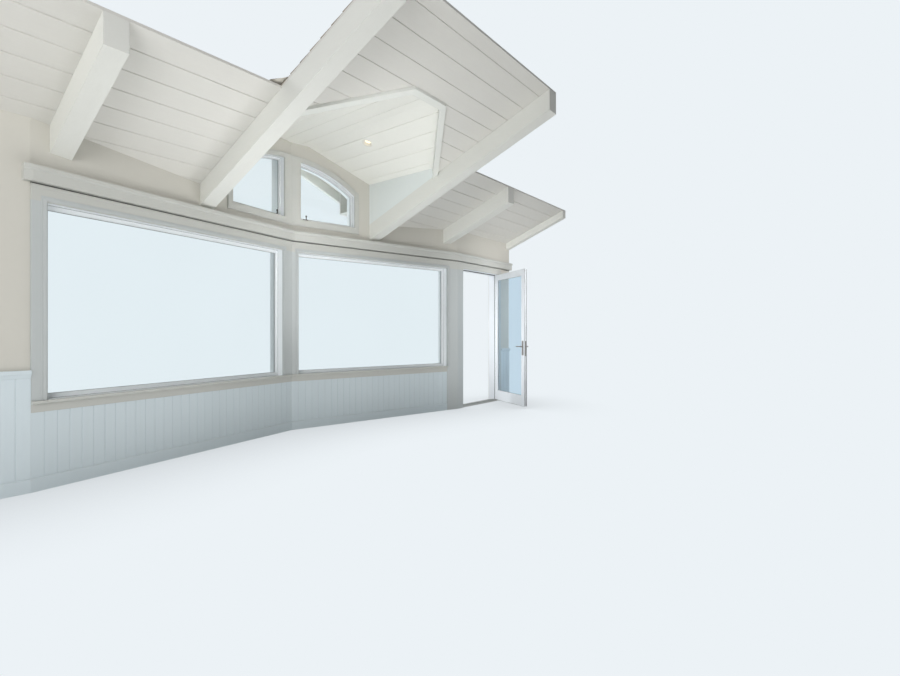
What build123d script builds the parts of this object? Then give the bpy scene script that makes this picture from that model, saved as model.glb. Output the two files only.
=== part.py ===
"""Bowed window wall of a great room, with a gabled dormer over it and a glazed door beside it.

Millimetres, +Z up. +X runs along the wall, +Y points out of the room. The origin is on the floor,
in the middle of the post where the two picture windows meet.
"""
import os
from math import atan2, cos, degrees, hypot, sin, tan

from build123d import *

os.makedirs("parts", exist_ok=True)

# Plan of the wall, from its left end to the corner beyond the door
LEFT_WALL_W = 1571
BAY_HALF = 2650
BAY_RISE = 563
DOOR_SIDE_W = 145
DOOR_W = 1031
END_WALL_W = 395
WALL_T = 180

# Main ceiling over the wall
FRIEZE_H = 362
CEILING_FALL = 0.387

# Picture windows
SILL_Z = 685
HEAD_Z = 2200
LEFT_JAMB = 105
POST_LEFT = 145
POST_RIGHT = 90
RIGHT_JAMB = 218
LINER_T = 18
SASH_W = 32
SASH_D = 50
SASH_SETBACK = 72
PANE_T = 12
OUTER_CASING_W = 80
OUTER_CASING_T = 22

# Trim on the room side
CASING_T = 20
HEAD_CASING_H = 125
SLOT_H = 9
CORNICE_H = 120
CORNICE_D = 62
CORNICE_CAP_H = 26
CORNICE_CAP_D = 76
CORNICE_RETURN = 50
BASE_H = 106
BASE_T = 18
BOARD_T = 12
BOARD_W = 88
JOINT_W = 7
JOINT_D = 4
RAIL_Z = 859
RAIL_H = 59
RAIL_D = 34
RAIL_LIP = 4
STOOL_D = 45
STOOL_T = 25
STOOL_NOSE = 6
APRON_H = 62
APRON_T = 16

# Garden door
DOOR_HEAD_STEP = 18
DOOR_LINER = 30
STOP_D = 12
STOP_W = 18
STOP_CLEAR = 7
THRESHOLD_H = 25
LEAF_T = 45
LEAF_GAP = 10
LEAF_STILE = 95
LEAF_BOTTOM_RAIL = 160
LEAF_OPEN = 60
DOOR_CASING_W = 95
CASING_REVEAL = 8
LEVER_Z = 980
LEVER_INSET = 48
LEVER_LENGTH = 118
LEVER_R = 9
LEVER_BEND_R = 14
LEVER_STAND = 52
PLATE_W = 42
PLATE_BELOW = 138
PLATE_ABOVE = 92
PLATE_T = 7
PLATE_CORNER_R = 10
HINGE_H = 100
HINGE_R = 7
HINGE_PIN_R = 3.5
HINGE_OUT = 8
HINGE_PLATE = 3
HINGE_PLATE_W = 36
HINGE_CLEAR = 0.5
HINGE_FROM_END = 205

# Dormer
DORMER_HALF = 1090
CHEEK_T = 90
STRIP_HALF = 228
STRIP_OVER_ARCH = 158
DORMER_FALL = 0.365
CEILING_T = 20
CURB_RISE = 75
CURB_DROP = 28
CURB_W = 65
ROOF_RISE = 234
ROOF_T = 60
ROOF_OVERHANG = 400
EAVE_OVERHANG = 270
EAVE_BOX_H = 310
EAVE_BOX_BACK = 70
EAVE_BOARD_T = 20
RAKE_H = 200
RAKE_T = 35
RIDGE_W = 90
VALLEY_T = 60

# Dormer windows, measured along the wall from the bend
DW_START = 120
DW_END = 880
DW_SILL_RISE = 158
ARCH_DROP = 741
ARCH_R = 1459
DW_LINER = 16
DW_SASH_W = 24
DW_SASH_D = 40
DW_SETBACK = 48
DW_PANE_T = 8
DW_CASING_W = 62
DW_CASING_FOOT = 82
DW_CASING_T = 18
CRANK_BASE = (64, 16, 14)
CRANK_R = 5
CRANK_ARM = 46
CRANK_BEND_R = 7.5

# Beams and the main ceiling, which reaches further into the room beside and behind the dormer
BEAM_W = 150
BEAM_H = 215
SLOPE_MARGIN = 50
SIDE_BEAM_STEP = 1285
SIDE_REACH = 1111
END_RAFTER_W = 100
END_RAFTER_H = 110

# Recessed lamp in the dormer ceiling
LAMP_X = 450
LAMP_Y = -323
LAMP_R = 66
LAMP_FLANGE = 4
LAMP_CAN_R = 54
LAMP_CAN_T = 2
LAMP_DEPTH = 70

# Worked out from the sizes above
DOOR_X = BAY_HALF + DOOR_SIDE_W
DOOR_H = HEAD_Z + DOOR_HEAD_STEP
BEND_Y = -WALL_T / 2
WALL_Y = BEND_Y - BAY_RISE
BAY_ANGLE = atan2(BAY_RISE, BAY_HALF)
BAY_RUN = hypot(BAY_RISE, BAY_HALF)
CORNICE_Z = HEAD_Z + HEAD_CASING_H + SLOT_H
CORNICE_TOP = CORNICE_Z + CORNICE_H
CEILING_AT_WALL = CORNICE_TOP + FRIEZE_H
DW_SILL_Z = CORNICE_TOP + DW_SILL_RISE
ARCH_CENTRE_Z = DW_SILL_Z - ARCH_DROP
STRIP_Z = ARCH_CENTRE_Z + ARCH_R + DW_CASING_W + STRIP_OVER_ARCH
ROOF_TOP_Z = STRIP_Z + ROOF_RISE
DOOR_ROUGH_Z = DOOR_H + DOOR_LINER
SLOPE_BACK = (ROOF_TOP_Z - VALLEY_T - CEILING_AT_WALL) / CEILING_FALL + SLOPE_MARGIN
FAR = 5 * BAY_HALF
CUT = 1


class Run:
    """One straight stretch of the wall: s runs along its room face, n goes outwards from it."""

    def __init__(self, start, end, mitre_start=0.0, mitre_end=0.0):
        self.start = start
        self.angle = atan2(end[1] - start[1], end[0] - start[0])
        self.length = hypot(end[0] - start[0], end[1] - start[1])
        self.mitre_start = mitre_start
        self.mitre_end = mitre_end

    def point(self, s, n):
        """Plan point at s along the run and n outwards."""
        x = self.start[0] + s * cos(self.angle) - n * sin(self.angle)
        y = self.start[1] + s * sin(self.angle) + n * cos(self.angle)
        return x, y

    def first(self, s, n):
        """Where a piece starts: at s, or on the mitre where s is None."""
        return self.mitre_start * n if s is None else s

    def last(self, s, n):
        """Where a piece ends: at s, or on the mitre where s is None."""
        return self.length + self.mitre_end * n if s is None else s

    def section(self, s):
        """Plane across the run at s, with its X outwards and its Y up."""
        x, y = self.point(s, 0)
        outwards = (-sin(self.angle), cos(self.angle), 0)
        along = (cos(self.angle), sin(self.angle), 0)
        return Plane(origin=(x, y, 0), x_dir=outwards, z_dir=along)

    def elevation(self, s, n):
        """Upright plane along the run, n outwards, with its X along the run and its Z into the room."""
        x, y = self.point(s, n)
        along = (cos(self.angle), sin(self.angle), 0)
        inwards = (sin(self.angle), -cos(self.angle), 0)
        return Plane(origin=(x, y, 0), x_dir=along, z_dir=inwards)


LEFT_END = (-BAY_HALF - LEFT_WALL_W, WALL_Y)
BAY_LEFT = (-BAY_HALF, WALL_Y)
BEND = (0, BEND_Y)
BAY_RIGHT = (BAY_HALF, WALL_Y)
RIGHT_END = (DOOR_X + DOOR_W + END_WALL_W, WALL_Y)
INNER_MITRE = tan(BAY_ANGLE / 2)
BEND_MITRE = tan(BAY_ANGLE)

left_run = Run(LEFT_END, BAY_LEFT, 0, -INNER_MITRE)
bay_left = Run(BAY_LEFT, BEND, INNER_MITRE, BEND_MITRE)
bay_right = Run(BEND, BAY_RIGHT, -BEND_MITRE, -INNER_MITRE)
right_run = Run(BAY_RIGHT, RIGHT_END, INNER_MITRE, 0)

nodes = {}


def keep(name, *solids):
    """File one node, made of one or more solids."""
    nodes[name] = solids[0] if len(solids) == 1 else Compound(children=list(solids))


def prism(points, z0, z1):
    """Upright prism over plan points."""
    outline = Polyline(*[(x, y, z0) for x, y in points], close=True)
    return extrude(make_face(outline), amount=z1 - z0, dir=(0, 0, 1))


def slab(run, s0, s1, n0, n1, z0, z1):
    """Plain block on a run, mitred where s0 or s1 is None."""
    corners = [
        run.point(run.first(s0, n0), n0),
        run.point(run.last(s1, n0), n0),
        run.point(run.last(s1, n1), n1),
        run.point(run.first(s0, n1), n1),
    ]
    return prism(corners, z0, z1)


def moulding(run, profile, s0, s1):
    """Moulding of one profile, (n, z) points, mitred where s0 or s1 is None."""
    outs = [n for n, _ in profile]
    heights = [z for _, z in profile]
    over = max(abs(n) for n in outs)
    start = (s0 or 0) - over
    end = (run.length if s1 is None else s1) + over
    face = make_face(Polyline(*profile, close=True))
    length = extrude(run.section(start) * face, amount=end - start)
    return length & slab(run, s0, s1, min(outs) - CUT, max(outs) + CUT, min(heights) - CUT, max(heights) + CUT)


def across(points, x0, x1):
    """Prism along X over (y, z) points."""
    outline = Polyline(*[(x0, y, z) for y, z in points], close=True)
    return extrude(make_face(outline), amount=x1 - x0, dir=(1, 0, 0))


def lengthways(points, y0, y1):
    """Prism along Y over (x, z) points."""
    outline = Polyline(*[(x, y0, z) for x, z in points], close=True)
    return extrude(make_face(outline), amount=y1 - y0, dir=(0, 1, 0))


def slope_z(y, lift=0):
    """Height of the main ceiling at y, or of a plane above it."""
    return CEILING_AT_WALL + lift - CEILING_FALL * (y - WALL_Y)


def under_slope(lift=0, floor=-CUT):
    """All the space below the main ceiling, or below a plane above it."""
    y0 = WALL_Y - FAR
    y1 = -WALL_Y
    return across([(y0, floor), (y1, floor), (y1, slope_z(y1, lift)), (y0, slope_z(y0, lift))], -FAR, FAR)


def under_ceiling(lift=0):
    """All the space under the dormer's ceiling boards, or under a face above them."""
    top = STRIP_Z + lift
    low = top - DORMER_FALL * (BAY_HALF - STRIP_HALF)
    points = [(-BAY_HALF, 0), (BAY_HALF, 0), (BAY_HALF, low)]
    points += [(STRIP_HALF, top), (-STRIP_HALF, top), (-BAY_HALF, low)]
    return lengthways(points, -FAR, FAR)


def under_roof(drop=0):
    """All the space under the dormer's roof, or under a face below its top."""
    top = ROOF_TOP_Z - drop
    low = top - DORMER_FALL * BAY_HALF
    return lengthways([(-BAY_HALF, 0), (BAY_HALF, 0), (BAY_HALF, low), (0, top), (-BAY_HALF, low)], -FAR, FAR)


def well(inset=0):
    """All the space over and under the dormer's opening in the main ceiling, or inside its edge."""
    across_run = DORMER_HALF - STRIP_HALF
    along_run = across_run * DORMER_FALL / CEILING_FALL
    edge = hypot(across_run, along_run)
    back = WALL_Y - (STRIP_Z - CURB_RISE - CEILING_AT_WALL) / CEILING_FALL
    side = back + along_run + inset * edge / across_run
    x = STRIP_HALF - inset * (edge - across_run) / along_run
    points = [(-DORMER_HALF, FAR), (-DORMER_HALF, side), (-x, back + inset), (x, back + inset)]
    points += [(DORMER_HALF, side), (DORMER_HALF, FAR)]
    return prism(points, -CUT, FAR)


def dormer_zone():
    """All the space between the outsides of the cheeks, from the cornice up."""
    width = 2 * (DORMER_HALF + CHEEK_T)
    return Pos(0, 0, CORNICE_TOP) * Box(width, FAR, FAR, align=(Align.CENTER, Align.CENTER, Align.MIN))


def room_side(n=0):
    """All the space on the room side of the wall's room face, or of a face n outwards from it."""
    corners = [run.point(run.first(None, n), n) for run in (left_run, bay_left, bay_right, right_run)]
    corners.append(right_run.point(right_run.last(None, n), n))
    return prism([(LEFT_END[0], -FAR), (RIGHT_END[0], -FAR), *reversed(corners)], -CUT, FAR)


SLOPE = under_slope()
ROOM = room_side()


def structure():
    """Posts, sill walls and headers, parted at the windows and the door."""
    top = slope_z(WALL_Y)
    keep("left_wall", slab(left_run, None, None, 0, WALL_T, 0, top) & SLOPE)
    left_edge = LEFT_JAMB - LINER_T
    left_post = BAY_RUN - POST_LEFT + LINER_T
    right_post = POST_RIGHT - LINER_T
    right_edge = BAY_RUN - RIGHT_JAMB + LINER_T
    rough_head = HEAD_Z + LINER_T
    rough_sill = SILL_Z - LINER_T
    keep("left_jamb_post", slab(bay_left, None, left_edge, 0, WALL_T, 0, rough_head))
    keep("left_sill_wall", slab(bay_left, left_edge, left_post, 0, WALL_T, 0, rough_sill))
    keep("centre_post",
         slab(bay_left, left_post, None, 0, WALL_T, 0, rough_head)
         + slab(bay_right, None, right_post, 0, WALL_T, 0, rough_head))
    keep("right_sill_wall", slab(bay_right, right_post, right_edge, 0, WALL_T, 0, rough_sill))
    door_side = DOOR_X - DOOR_LINER - BAY_HALF
    keep("corner_pier",
         slab(bay_right, right_edge, None, 0, WALL_T, 0, rough_head)
         + slab(right_run, None, door_side, 0, WALL_T, 0, DOOR_ROUGH_Z))
    far_side = DOOR_X + DOOR_W + DOOR_LINER - BAY_HALF
    keep("end_wall", slab(right_run, far_side, None, 0, WALL_T, 0, DOOR_ROUGH_Z))
    keep("door_header", slab(right_run, None, None, 0, WALL_T, DOOR_ROUGH_Z, top) & SLOPE)
    for name, run in (("left", bay_left), ("right", bay_right)):
        block = slab(run, None, None, 0, WALL_T, rough_head, top) & SLOPE
        keep(f"{name}_header", block - dormer_zone())


def ring(run, s0, s1, z0, z1, width, n0, n1):
    """Upright frame on a run: s0 to s1 and z0 to z1 outside, width wide."""
    outer = slab(run, s0, s1, n0, n1, z0, z1)
    return outer - slab(run, s0 + width, s1 - width, n0 - CUT, n1 + CUT, z0 + width, z1 - width)


def picture_window(side, run, s0, s1):
    """Liner, outer casing and sash in one frame, and its single pane."""
    frame = ring(run, s0 - LINER_T, s1 + LINER_T, SILL_Z - LINER_T, HEAD_Z + LINER_T, LINER_T, 0, WALL_T)
    edge = OUTER_CASING_W
    frame += ring(run, s0 - edge, s1 + edge, SILL_Z - edge, HEAD_Z + edge, edge,
                  WALL_T, WALL_T + OUTER_CASING_T)
    n0 = SASH_SETBACK
    n1 = SASH_SETBACK + SASH_D
    frame += ring(run, s0, s1, SILL_Z, HEAD_Z, SASH_W, n0, n1)
    keep(f"{side}_window_frame", frame)
    middle = (n0 + n1) / 2
    keep(f"{side}_window_pane",
         slab(run, s0 + SASH_W, s1 - SASH_W, middle - PANE_T / 2, middle + PANE_T / 2,
              SILL_Z + SASH_W, HEAD_Z - SASH_W))


def trim():
    """Casings, stools and the cornice on the room side."""
    left_end = BAY_RUN - POST_LEFT
    right_start = BAY_RUN - RIGHT_JAMB
    casing_top = HEAD_Z + HEAD_CASING_H
    bay_heads = (slab(bay_left, None, None, -CASING_T, 0, HEAD_Z, casing_top)
                 + slab(bay_right, None, None, -CASING_T, 0, HEAD_Z, casing_top))
    keep("left_jamb_casing", slab(bay_left, None, LEFT_JAMB, -CASING_T, 0, SILL_Z, HEAD_Z))
    keep("centre_casing",
         slab(bay_left, left_end, None, -CASING_T, 0, SILL_Z, HEAD_Z)
         + slab(bay_right, None, POST_RIGHT, -CASING_T, 0, SILL_Z, HEAD_Z))
    door_side = DOOR_X - CASING_REVEAL - BAY_HALF
    keep("corner_pilaster",
         slab(bay_right, right_start, None, -CASING_T, 0, 0, HEAD_Z)
         + slab(right_run, None, door_side, -CASING_T, 0, 0, HEAD_Z))
    head_z = DOOR_H + CASING_REVEAL
    far_side = DOOR_X + DOOR_W + CASING_REVEAL - BAY_HALF
    far_end = far_side + DOOR_CASING_W
    head = slab(right_run, None, far_end, -CASING_T, 0, HEAD_Z, casing_top)
    head -= slab(right_run, door_side, far_end + CUT, -CASING_T - CUT, CUT, HEAD_Z - CUT, head_z)
    keep("head_casing", bay_heads + head)
    keep("door_side_casing", slab(right_run, far_side, far_end, -CASING_T, 0, 0, head_z))
    stool = [
        (0, SILL_Z - STOOL_T - APRON_H),
        (-APRON_T, SILL_Z - STOOL_T - APRON_H),
        (-APRON_T, SILL_Z - STOOL_T),
        (-STOOL_D + STOOL_NOSE, SILL_Z - STOOL_T),
        (-STOOL_D, SILL_Z - STOOL_T + STOOL_NOSE),
        (-STOOL_D, SILL_Z),
        (0, SILL_Z),
    ]
    keep("window_stool",
         moulding(bay_left, stool, None, None) + moulding(bay_right, stool, None, right_start))
    top = CORNICE_TOP
    cap = top - CORNICE_CAP_H
    cornice = [
        (0, CORNICE_Z),
        (-CORNICE_D, CORNICE_Z),
        (-CORNICE_D, cap - (CORNICE_CAP_D - CORNICE_D)),
        (-CORNICE_CAP_D, cap),
        (-CORNICE_CAP_D, top),
        (0, top),
    ]
    whole = moulding(left_run, cornice, left_run.length - CORNICE_RETURN, None)
    for run in (bay_left, bay_right):
        whole += moulding(run, cornice, None, None)
    keep("cornice", whole + moulding(right_run, cornice, None, right_run.length))


def wainscot(run, s0, s1, z0, z1):
    """Boards with V joints between them, as one panel, mitred where it reaches an end of the run."""
    count = max(1, round((s1 - s0) / BOARD_W))
    pitch = (s1 - s0) / count
    start = None if s0 == 0 else s0
    end = None if s1 >= run.length else s1
    points = [run.point(run.first(start, 0), 0), run.point(run.first(start, -BOARD_T), -BOARD_T)]
    for index in range(1, count):
        middle = s0 + index * pitch
        points.append(run.point(middle - JOINT_W / 2, -BOARD_T))
        points.append(run.point(middle, -BOARD_T + JOINT_D))
        points.append(run.point(middle + JOINT_W / 2, -BOARD_T))
    points += [run.point(run.last(end, -BOARD_T), -BOARD_T), run.point(run.last(end, 0), 0)]
    return prism(points, z0, z1)


def lower_wall():
    """Baseboards, wainscot and chair rails."""
    base = [(0, 0), (-BASE_T, 0), (-BASE_T, BASE_H - BASE_T / 2), (-BASE_T / 2, BASE_H), (0, BASE_H)]
    rail = [
        (0, RAIL_Z),
        (-BOARD_T - RAIL_LIP, RAIL_Z),
        (-RAIL_D + RAIL_LIP, RAIL_Z + RAIL_H / 2),
        (-RAIL_D, RAIL_Z + RAIL_H / 2),
        (-RAIL_D, RAIL_Z + RAIL_H),
        (0, RAIL_Z + RAIL_H),
    ]
    apron_z = SILL_Z - STOOL_T - APRON_H
    pilaster = BAY_RUN - RIGHT_JAMB
    far_end = DOOR_X + DOOR_W + CASING_REVEAL + DOOR_CASING_W - BAY_HALF
    keep("left_baseboard", moulding(left_run, base, None, None))
    keep("left_wainscot", wainscot(left_run, 0, left_run.length, BASE_H, RAIL_Z))
    keep("left_chair_rail", moulding(left_run, rail, None, None))
    keep("bay_baseboard",
         moulding(bay_left, base, None, None) + moulding(bay_right, base, None, pilaster))
    keep("bay_wainscot",
         wainscot(bay_left, 0, bay_left.length, BASE_H, apron_z)
         + wainscot(bay_right, 0, pilaster, BASE_H, apron_z))
    keep("end_panelling",
         moulding(right_run, base, far_end, None)
         + wainscot(right_run, far_end, right_run.length, BASE_H, RAIL_Z)
         + moulding(right_run, rail, far_end, None))


def door_frame():
    """Jambs and head with their stops, and the threshold."""
    s0 = DOOR_X - BAY_HALF
    s1 = s0 + DOOR_W
    stop_n = LEAF_T + STOP_CLEAR
    near = slab(right_run, s0 - DOOR_LINER, s0, 0, WALL_T, 0, DOOR_ROUGH_Z)
    near += slab(right_run, s0, s0 + STOP_D, stop_n, stop_n + STOP_W, THRESHOLD_H, DOOR_H)
    far = slab(right_run, s1, s1 + DOOR_LINER, 0, WALL_T, 0, DOOR_ROUGH_Z)
    far += slab(right_run, s1 - STOP_D, s1, stop_n, stop_n + STOP_W, THRESHOLD_H, DOOR_H)
    head = slab(right_run, s0, s1, 0, WALL_T, DOOR_H, DOOR_ROUGH_Z)
    head += slab(right_run, s0 + STOP_D, s1 - STOP_D, stop_n, stop_n + STOP_W, DOOR_H - STOP_D, DOOR_H)
    keep("door_near_jamb", near)
    keep("door_far_jamb", far)
    keep("door_head", head)
    sill = [(0, 0), (WALL_T, 0), (WALL_T, THRESHOLD_H / 2), (WALL_T / 2, THRESHOLD_H), (0, THRESHOLD_H)]
    keep("threshold", moulding(right_run, sill, s0, s1))


def hinge_point():
    """Plan point of the hinge pins."""
    return right_run.point(DOOR_X + DOOR_W - LEAF_GAP / 2 - BAY_HALF, -HINGE_OUT)


def opened(solid):
    """Turn a piece of the closed leaf about the hinge pins to where the door stands."""
    x, y = hinge_point()
    return Pos(x, y, 0) * Rot(0, 0, LEAF_OPEN) * Pos(-x, -y, 0) * solid


def knuckle(z0, z1, bore):
    """Stretch of hinge barrel between two heights, bored where the pin runs in it."""
    x, y = hinge_point()
    barrel = Pos(x, y, z0) * Cylinder(HINGE_R, z1 - z0, align=(Align.CENTER, Align.CENTER, Align.MIN))
    if bore:
        hole = HINGE_PIN_R + HINGE_CLEAR
        barrel -= Pos(x, y, z0 - CUT) * Cylinder(
            hole, z1 - z0 + 2 * CUT, align=(Align.CENTER, Align.CENTER, Align.MIN))
    return barrel


def door_hinges():
    """Three butt hinges: end knuckles, pin and plate on the jamb, middle knuckle and plate on the leaf."""
    s1 = DOOR_X + DOOR_W - BAY_HALF
    x, y = hinge_point()
    third = HINGE_H / 3
    on_jamb = []
    on_leaf = []
    reach = -HINGE_OUT
    lowest = THRESHOLD_H + HINGE_FROM_END
    highest = DOOR_H - HINGE_FROM_END
    for middle in (lowest, (lowest + highest) / 2, highest):
        low = middle - HINGE_H / 2
        high = middle + HINGE_H / 2
        fixed = knuckle(low, low + third, False) + knuckle(high - third, high, False)
        fixed += Pos(x, y, low) * Cylinder(
            HINGE_PIN_R, HINGE_H, align=(Align.CENTER, Align.CENTER, Align.MIN))
        fixed += slab(right_run, s1 - HINGE_PLATE, s1, 0, HINGE_PLATE_W, low, high)
        for z0, z1 in ((low, low + third), (high - third, high)):
            fixed += slab(right_run, s1 - HINGE_PLATE, s1, reach, 0, z0, z1)
        on_jamb.append(fixed)
        z0 = low + third + HINGE_CLEAR
        z1 = high - third - HINGE_CLEAR
        edge = s1 - LEAF_GAP
        moving = slab(right_run, edge, edge + HINGE_PLATE, 0, HINGE_PLATE_W, low, high)
        moving += slab(right_run, edge, edge + HINGE_PLATE, reach, 0, z0, z1)
        moving += knuckle(z0, z1, False)
        hole = HINGE_PIN_R + HINGE_CLEAR
        moving -= Pos(x, y, low - CUT) * Cylinder(
            hole, HINGE_H + 2 * CUT, align=(Align.CENTER, Align.CENTER, Align.MIN))
        on_leaf.append(opened(moving))
    keep("jamb_hinges", *on_jamb)
    keep("leaf_hinges", *on_leaf)


def lever(s, face_n, out):
    """Lever handle on its plate, on one face of the closed leaf; out is -1 to the room, 1 outwards."""
    n0 = min(face_n, face_n + out * PLATE_T)
    handle = slab(right_run, s - PLATE_W / 2, s + PLATE_W / 2, n0, n0 + PLATE_T,
                  LEVER_Z - PLATE_BELOW, LEVER_Z + PLATE_ABOVE)
    handle = fillet(handle.edges().filter_by(Axis.Y), PLATE_CORNER_R)
    neck_end = face_n + out * LEVER_STAND
    path = FilletPolyline(
        (*right_run.point(s, face_n + out * PLATE_T / 2), LEVER_Z),
        (*right_run.point(s, neck_end), LEVER_Z),
        (*right_run.point(s + LEVER_LENGTH, neck_end), LEVER_Z),
        radius=LEVER_BEND_R,
    )
    start = Plane(origin=path @ 0, z_dir=path % 0)
    handle += sweep(start * Circle(LEVER_R), path=path)
    return opened(handle)


def door_leaf():
    """Glazed leaf, built closed and turned to where it stands."""
    s0 = DOOR_X + LEAF_GAP - BAY_HALF
    s1 = DOOR_X + DOOR_W - LEAF_GAP - BAY_HALF
    z0 = THRESHOLD_H + LEAF_GAP
    z1 = DOOR_H - LEAF_GAP
    leaf = slab(right_run, s0, s1, 0, LEAF_T, z0, z1)
    light = (s0 + LEAF_STILE, s1 - LEAF_STILE)
    heights = (z0 + LEAF_BOTTOM_RAIL, z1 - LEAF_STILE)
    leaf -= slab(right_run, *light, -CUT, LEAF_T + CUT, *heights)
    keep("door_leaf", opened(leaf))
    middle = LEAF_T / 2
    keep("door_pane",
         opened(slab(right_run, *light, middle - PANE_T / 2, middle + PANE_T / 2, *heights)))
    keep("door_levers", lever(s0 + LEVER_INSET, 0, -1), lever(s0 + LEVER_INSET, LEAF_T, 1))


def half_arch(side, grow=0):
    """Outline of one dormer window in elevation, grown or shrunk all round; side is -1 or 1."""
    width = DW_END - DW_START + 2 * grow
    height = ARCH_R + ARCH_CENTRE_Z - DW_SILL_Z + 2 * grow
    middle = side * (DW_START + DW_END) / 2
    block = Pos(middle, DW_SILL_Z - grow + height / 2) * Rectangle(width, height)
    return block & Pos(0, ARCH_CENTRE_Z) * Circle(ARCH_R + grow)


def casing_outline(side):
    """Outline of the casing board round one dormer window."""
    foot = DW_SILL_Z - DW_CASING_FOOT
    radius = ARCH_R + DW_CASING_W
    height = radius + ARCH_CENTRE_Z - foot
    width = DW_END + DW_CASING_W + DW_CASING_T
    block = Pos(side * (width / 2 - DW_CASING_T), foot + height / 2) * Rectangle(width, height)
    return block & Pos(0, ARCH_CENTRE_Z) * Circle(radius)


def upright(run, bend_s, outline, n0, n1):
    """Extrude an elevation outline, drawn from the bend, between two depths of the wall."""
    return extrude(run.elevation(bend_s, n1) * outline, amount=n1 - n0)


def dormer_front():
    """The dormer's front wall with its half-arch windows, in two leaves that meet at the bend."""
    below_deck = under_roof(ROOF_T)
    panes = []
    casings = []
    for name, run, side, bend_s in (("left", bay_left, -1, BAY_RUN), ("right", bay_right, 1, 0)):
        wall = slab(run, None, None, 0, WALL_T, CORNICE_TOP, ROOF_TOP_Z)
        wall = (wall & dormer_zone()) & below_deck
        wall -= upright(run, bend_s, half_arch(side, DW_LINER), -CUT, WALL_T + CUT)
        keep(f"dormer_{name}_front", wall)
        opening = half_arch(side)
        frame = upright(run, bend_s, half_arch(side, DW_LINER) - opening, 0, WALL_T)
        outer = half_arch(side, OUTER_CASING_W - LINER_T) - opening
        board = upright(run, bend_s, outer, WALL_T, WALL_T + OUTER_CASING_T)
        frame += board
        sash = opening - half_arch(side, -DW_SASH_W)
        frame += upright(run, bend_s, sash, DW_SETBACK, DW_SETBACK + DW_SASH_D)
        keep(f"dormer_{name}_window", frame)
        middle = DW_SETBACK + DW_SASH_D / 2
        pane = upright(run, bend_s, half_arch(side, -DW_SASH_W), middle - DW_PANE_T / 2,
                       middle + DW_PANE_T / 2)
        panes.append(pane)
        casing = upright(run, bend_s, casing_outline(side) - opening, -DW_CASING_T, 0)
        mitred = slab(run, None, None, -DW_CASING_T - CUT, CUT, CORNICE_TOP, ROOF_TOP_Z)
        casings.append(casing & mitred)
    keep("dormer_panes", *panes)
    keep("dormer_casing", casings[0] + casings[1])


def cranks():
    """Crank handles at the foot of the dormer windows."""
    pieces = []
    for run, bend_s, side in ((bay_left, BAY_RUN, -1), (bay_right, 0, 1)):
        s = bend_s + side * (DW_START + DW_SASH_W + CRANK_BASE[0])
        z = DW_SILL_Z + DW_SASH_W / 2
        n = DW_SETBACK
        base = slab(run, s - CRANK_BASE[0] / 2, s + CRANK_BASE[0] / 2, n - CRANK_BASE[1], n,
                    z - CRANK_BASE[2] / 2, z + CRANK_BASE[2] / 2)
        path = FilletPolyline(
            (*run.point(s, n - CRANK_BASE[1] / 2), z),
            (*run.point(s, n - CRANK_BASE[1] - 2 * CRANK_R), z),
            (*run.point(s, n - CRANK_BASE[1] - 2 * CRANK_R), z + CRANK_ARM),
            radius=CRANK_BEND_R,
        )
        start = Plane(origin=path @ 0, z_dir=path % 0)
        pieces.append(base + sweep(start * Circle(CRANK_R), path=path))
    keep("window_cranks", *pieces)


def dormer_shell():
    """Cheeks, ceiling, roof, rake boards, boxed eaves and ridge of the dormer."""
    outer_half = DORMER_HALF + CHEEK_T
    front = BEND_Y + WALL_T + ROOF_OVERHANG
    above_slope = ROOM - SLOPE
    below_deck = under_roof(ROOF_T)
    for name, side in (("left", -1), ("right", 1)):
        x = side * (DORMER_HALF + CHEEK_T / 2)
        cheek = Pos(x, 0, 0) * Box(CHEEK_T, FAR, 2 * FAR)
        keep(f"dormer_{name}_cheek", (cheek & above_slope) & below_deck)
    boards = (under_ceiling(CEILING_T) - under_ceiling()) & well()
    boards &= above_slope
    boards -= lamp_axis() * Cylinder(LAMP_CAN_R + CUT, 4 * CEILING_T)
    keep("dormer_ceiling", boards)
    curb = (under_ceiling() - under_slope(-CURB_DROP)) & (well() - well(CURB_W))
    keep("well_curb", curb & ROOM)
    eave = outer_half + EAVE_OVERHANG
    deck = under_roof() - below_deck
    over_deck = deck - under_slope(VALLEY_T)
    for name, x0, x1 in (("left", -eave, 0), ("right", 0, eave)):
        block = Pos((x0 + x1) / 2, 0, 0) * Box(x1 - x0, 2 * FAR, 2 * FAR)
        ahead = Pos(0, front - RAKE_T - FAR, 0) * Box(2 * FAR, 2 * FAR, 2 * FAR)
        keep(f"dormer_{name}_roof", (over_deck & block) & ahead)
    rake = under_roof() - under_roof(RAKE_H)
    rake &= Pos(0, front - RAKE_T / 2, ROOF_TOP_Z) * Box(2 * eave, RAKE_T, FAR)
    keep("dormer_rake_board", rake)
    foot = ROOF_TOP_Z - DORMER_FALL * eave - EAVE_BOX_H
    boxes = []
    for side in (-1, 1):
        block = Box(EAVE_OVERHANG, 2 * FAR, 2 * FAR)
        block = Pos(side * (outer_half + eave) / 2, front - EAVE_BOX_BACK - FAR, foot + FAR) * block
        block -= Pos(-side * EAVE_BOARD_T, -EAVE_BOARD_T, EAVE_BOARD_T) * block
        boxes.append((below_deck & block) - under_slope(VALLEY_T))
    keep("dormer_eave_boxes", *boxes)
    ridge = under_roof(ROOF_T) - under_ceiling(CEILING_T)
    ridge &= Box(RIDGE_W, FAR, 2 * FAR)
    ridge = (ridge & ROOM) - under_slope(VALLEY_T)
    valley = (below_deck & under_slope(VALLEY_T)) - under_slope(CEILING_T)
    valley = (valley & ROOM) & Box(2 * DORMER_HALF, 2 * FAR, 2 * FAR)
    keep("dormer_rafters", ridge + (valley - well()))


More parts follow.
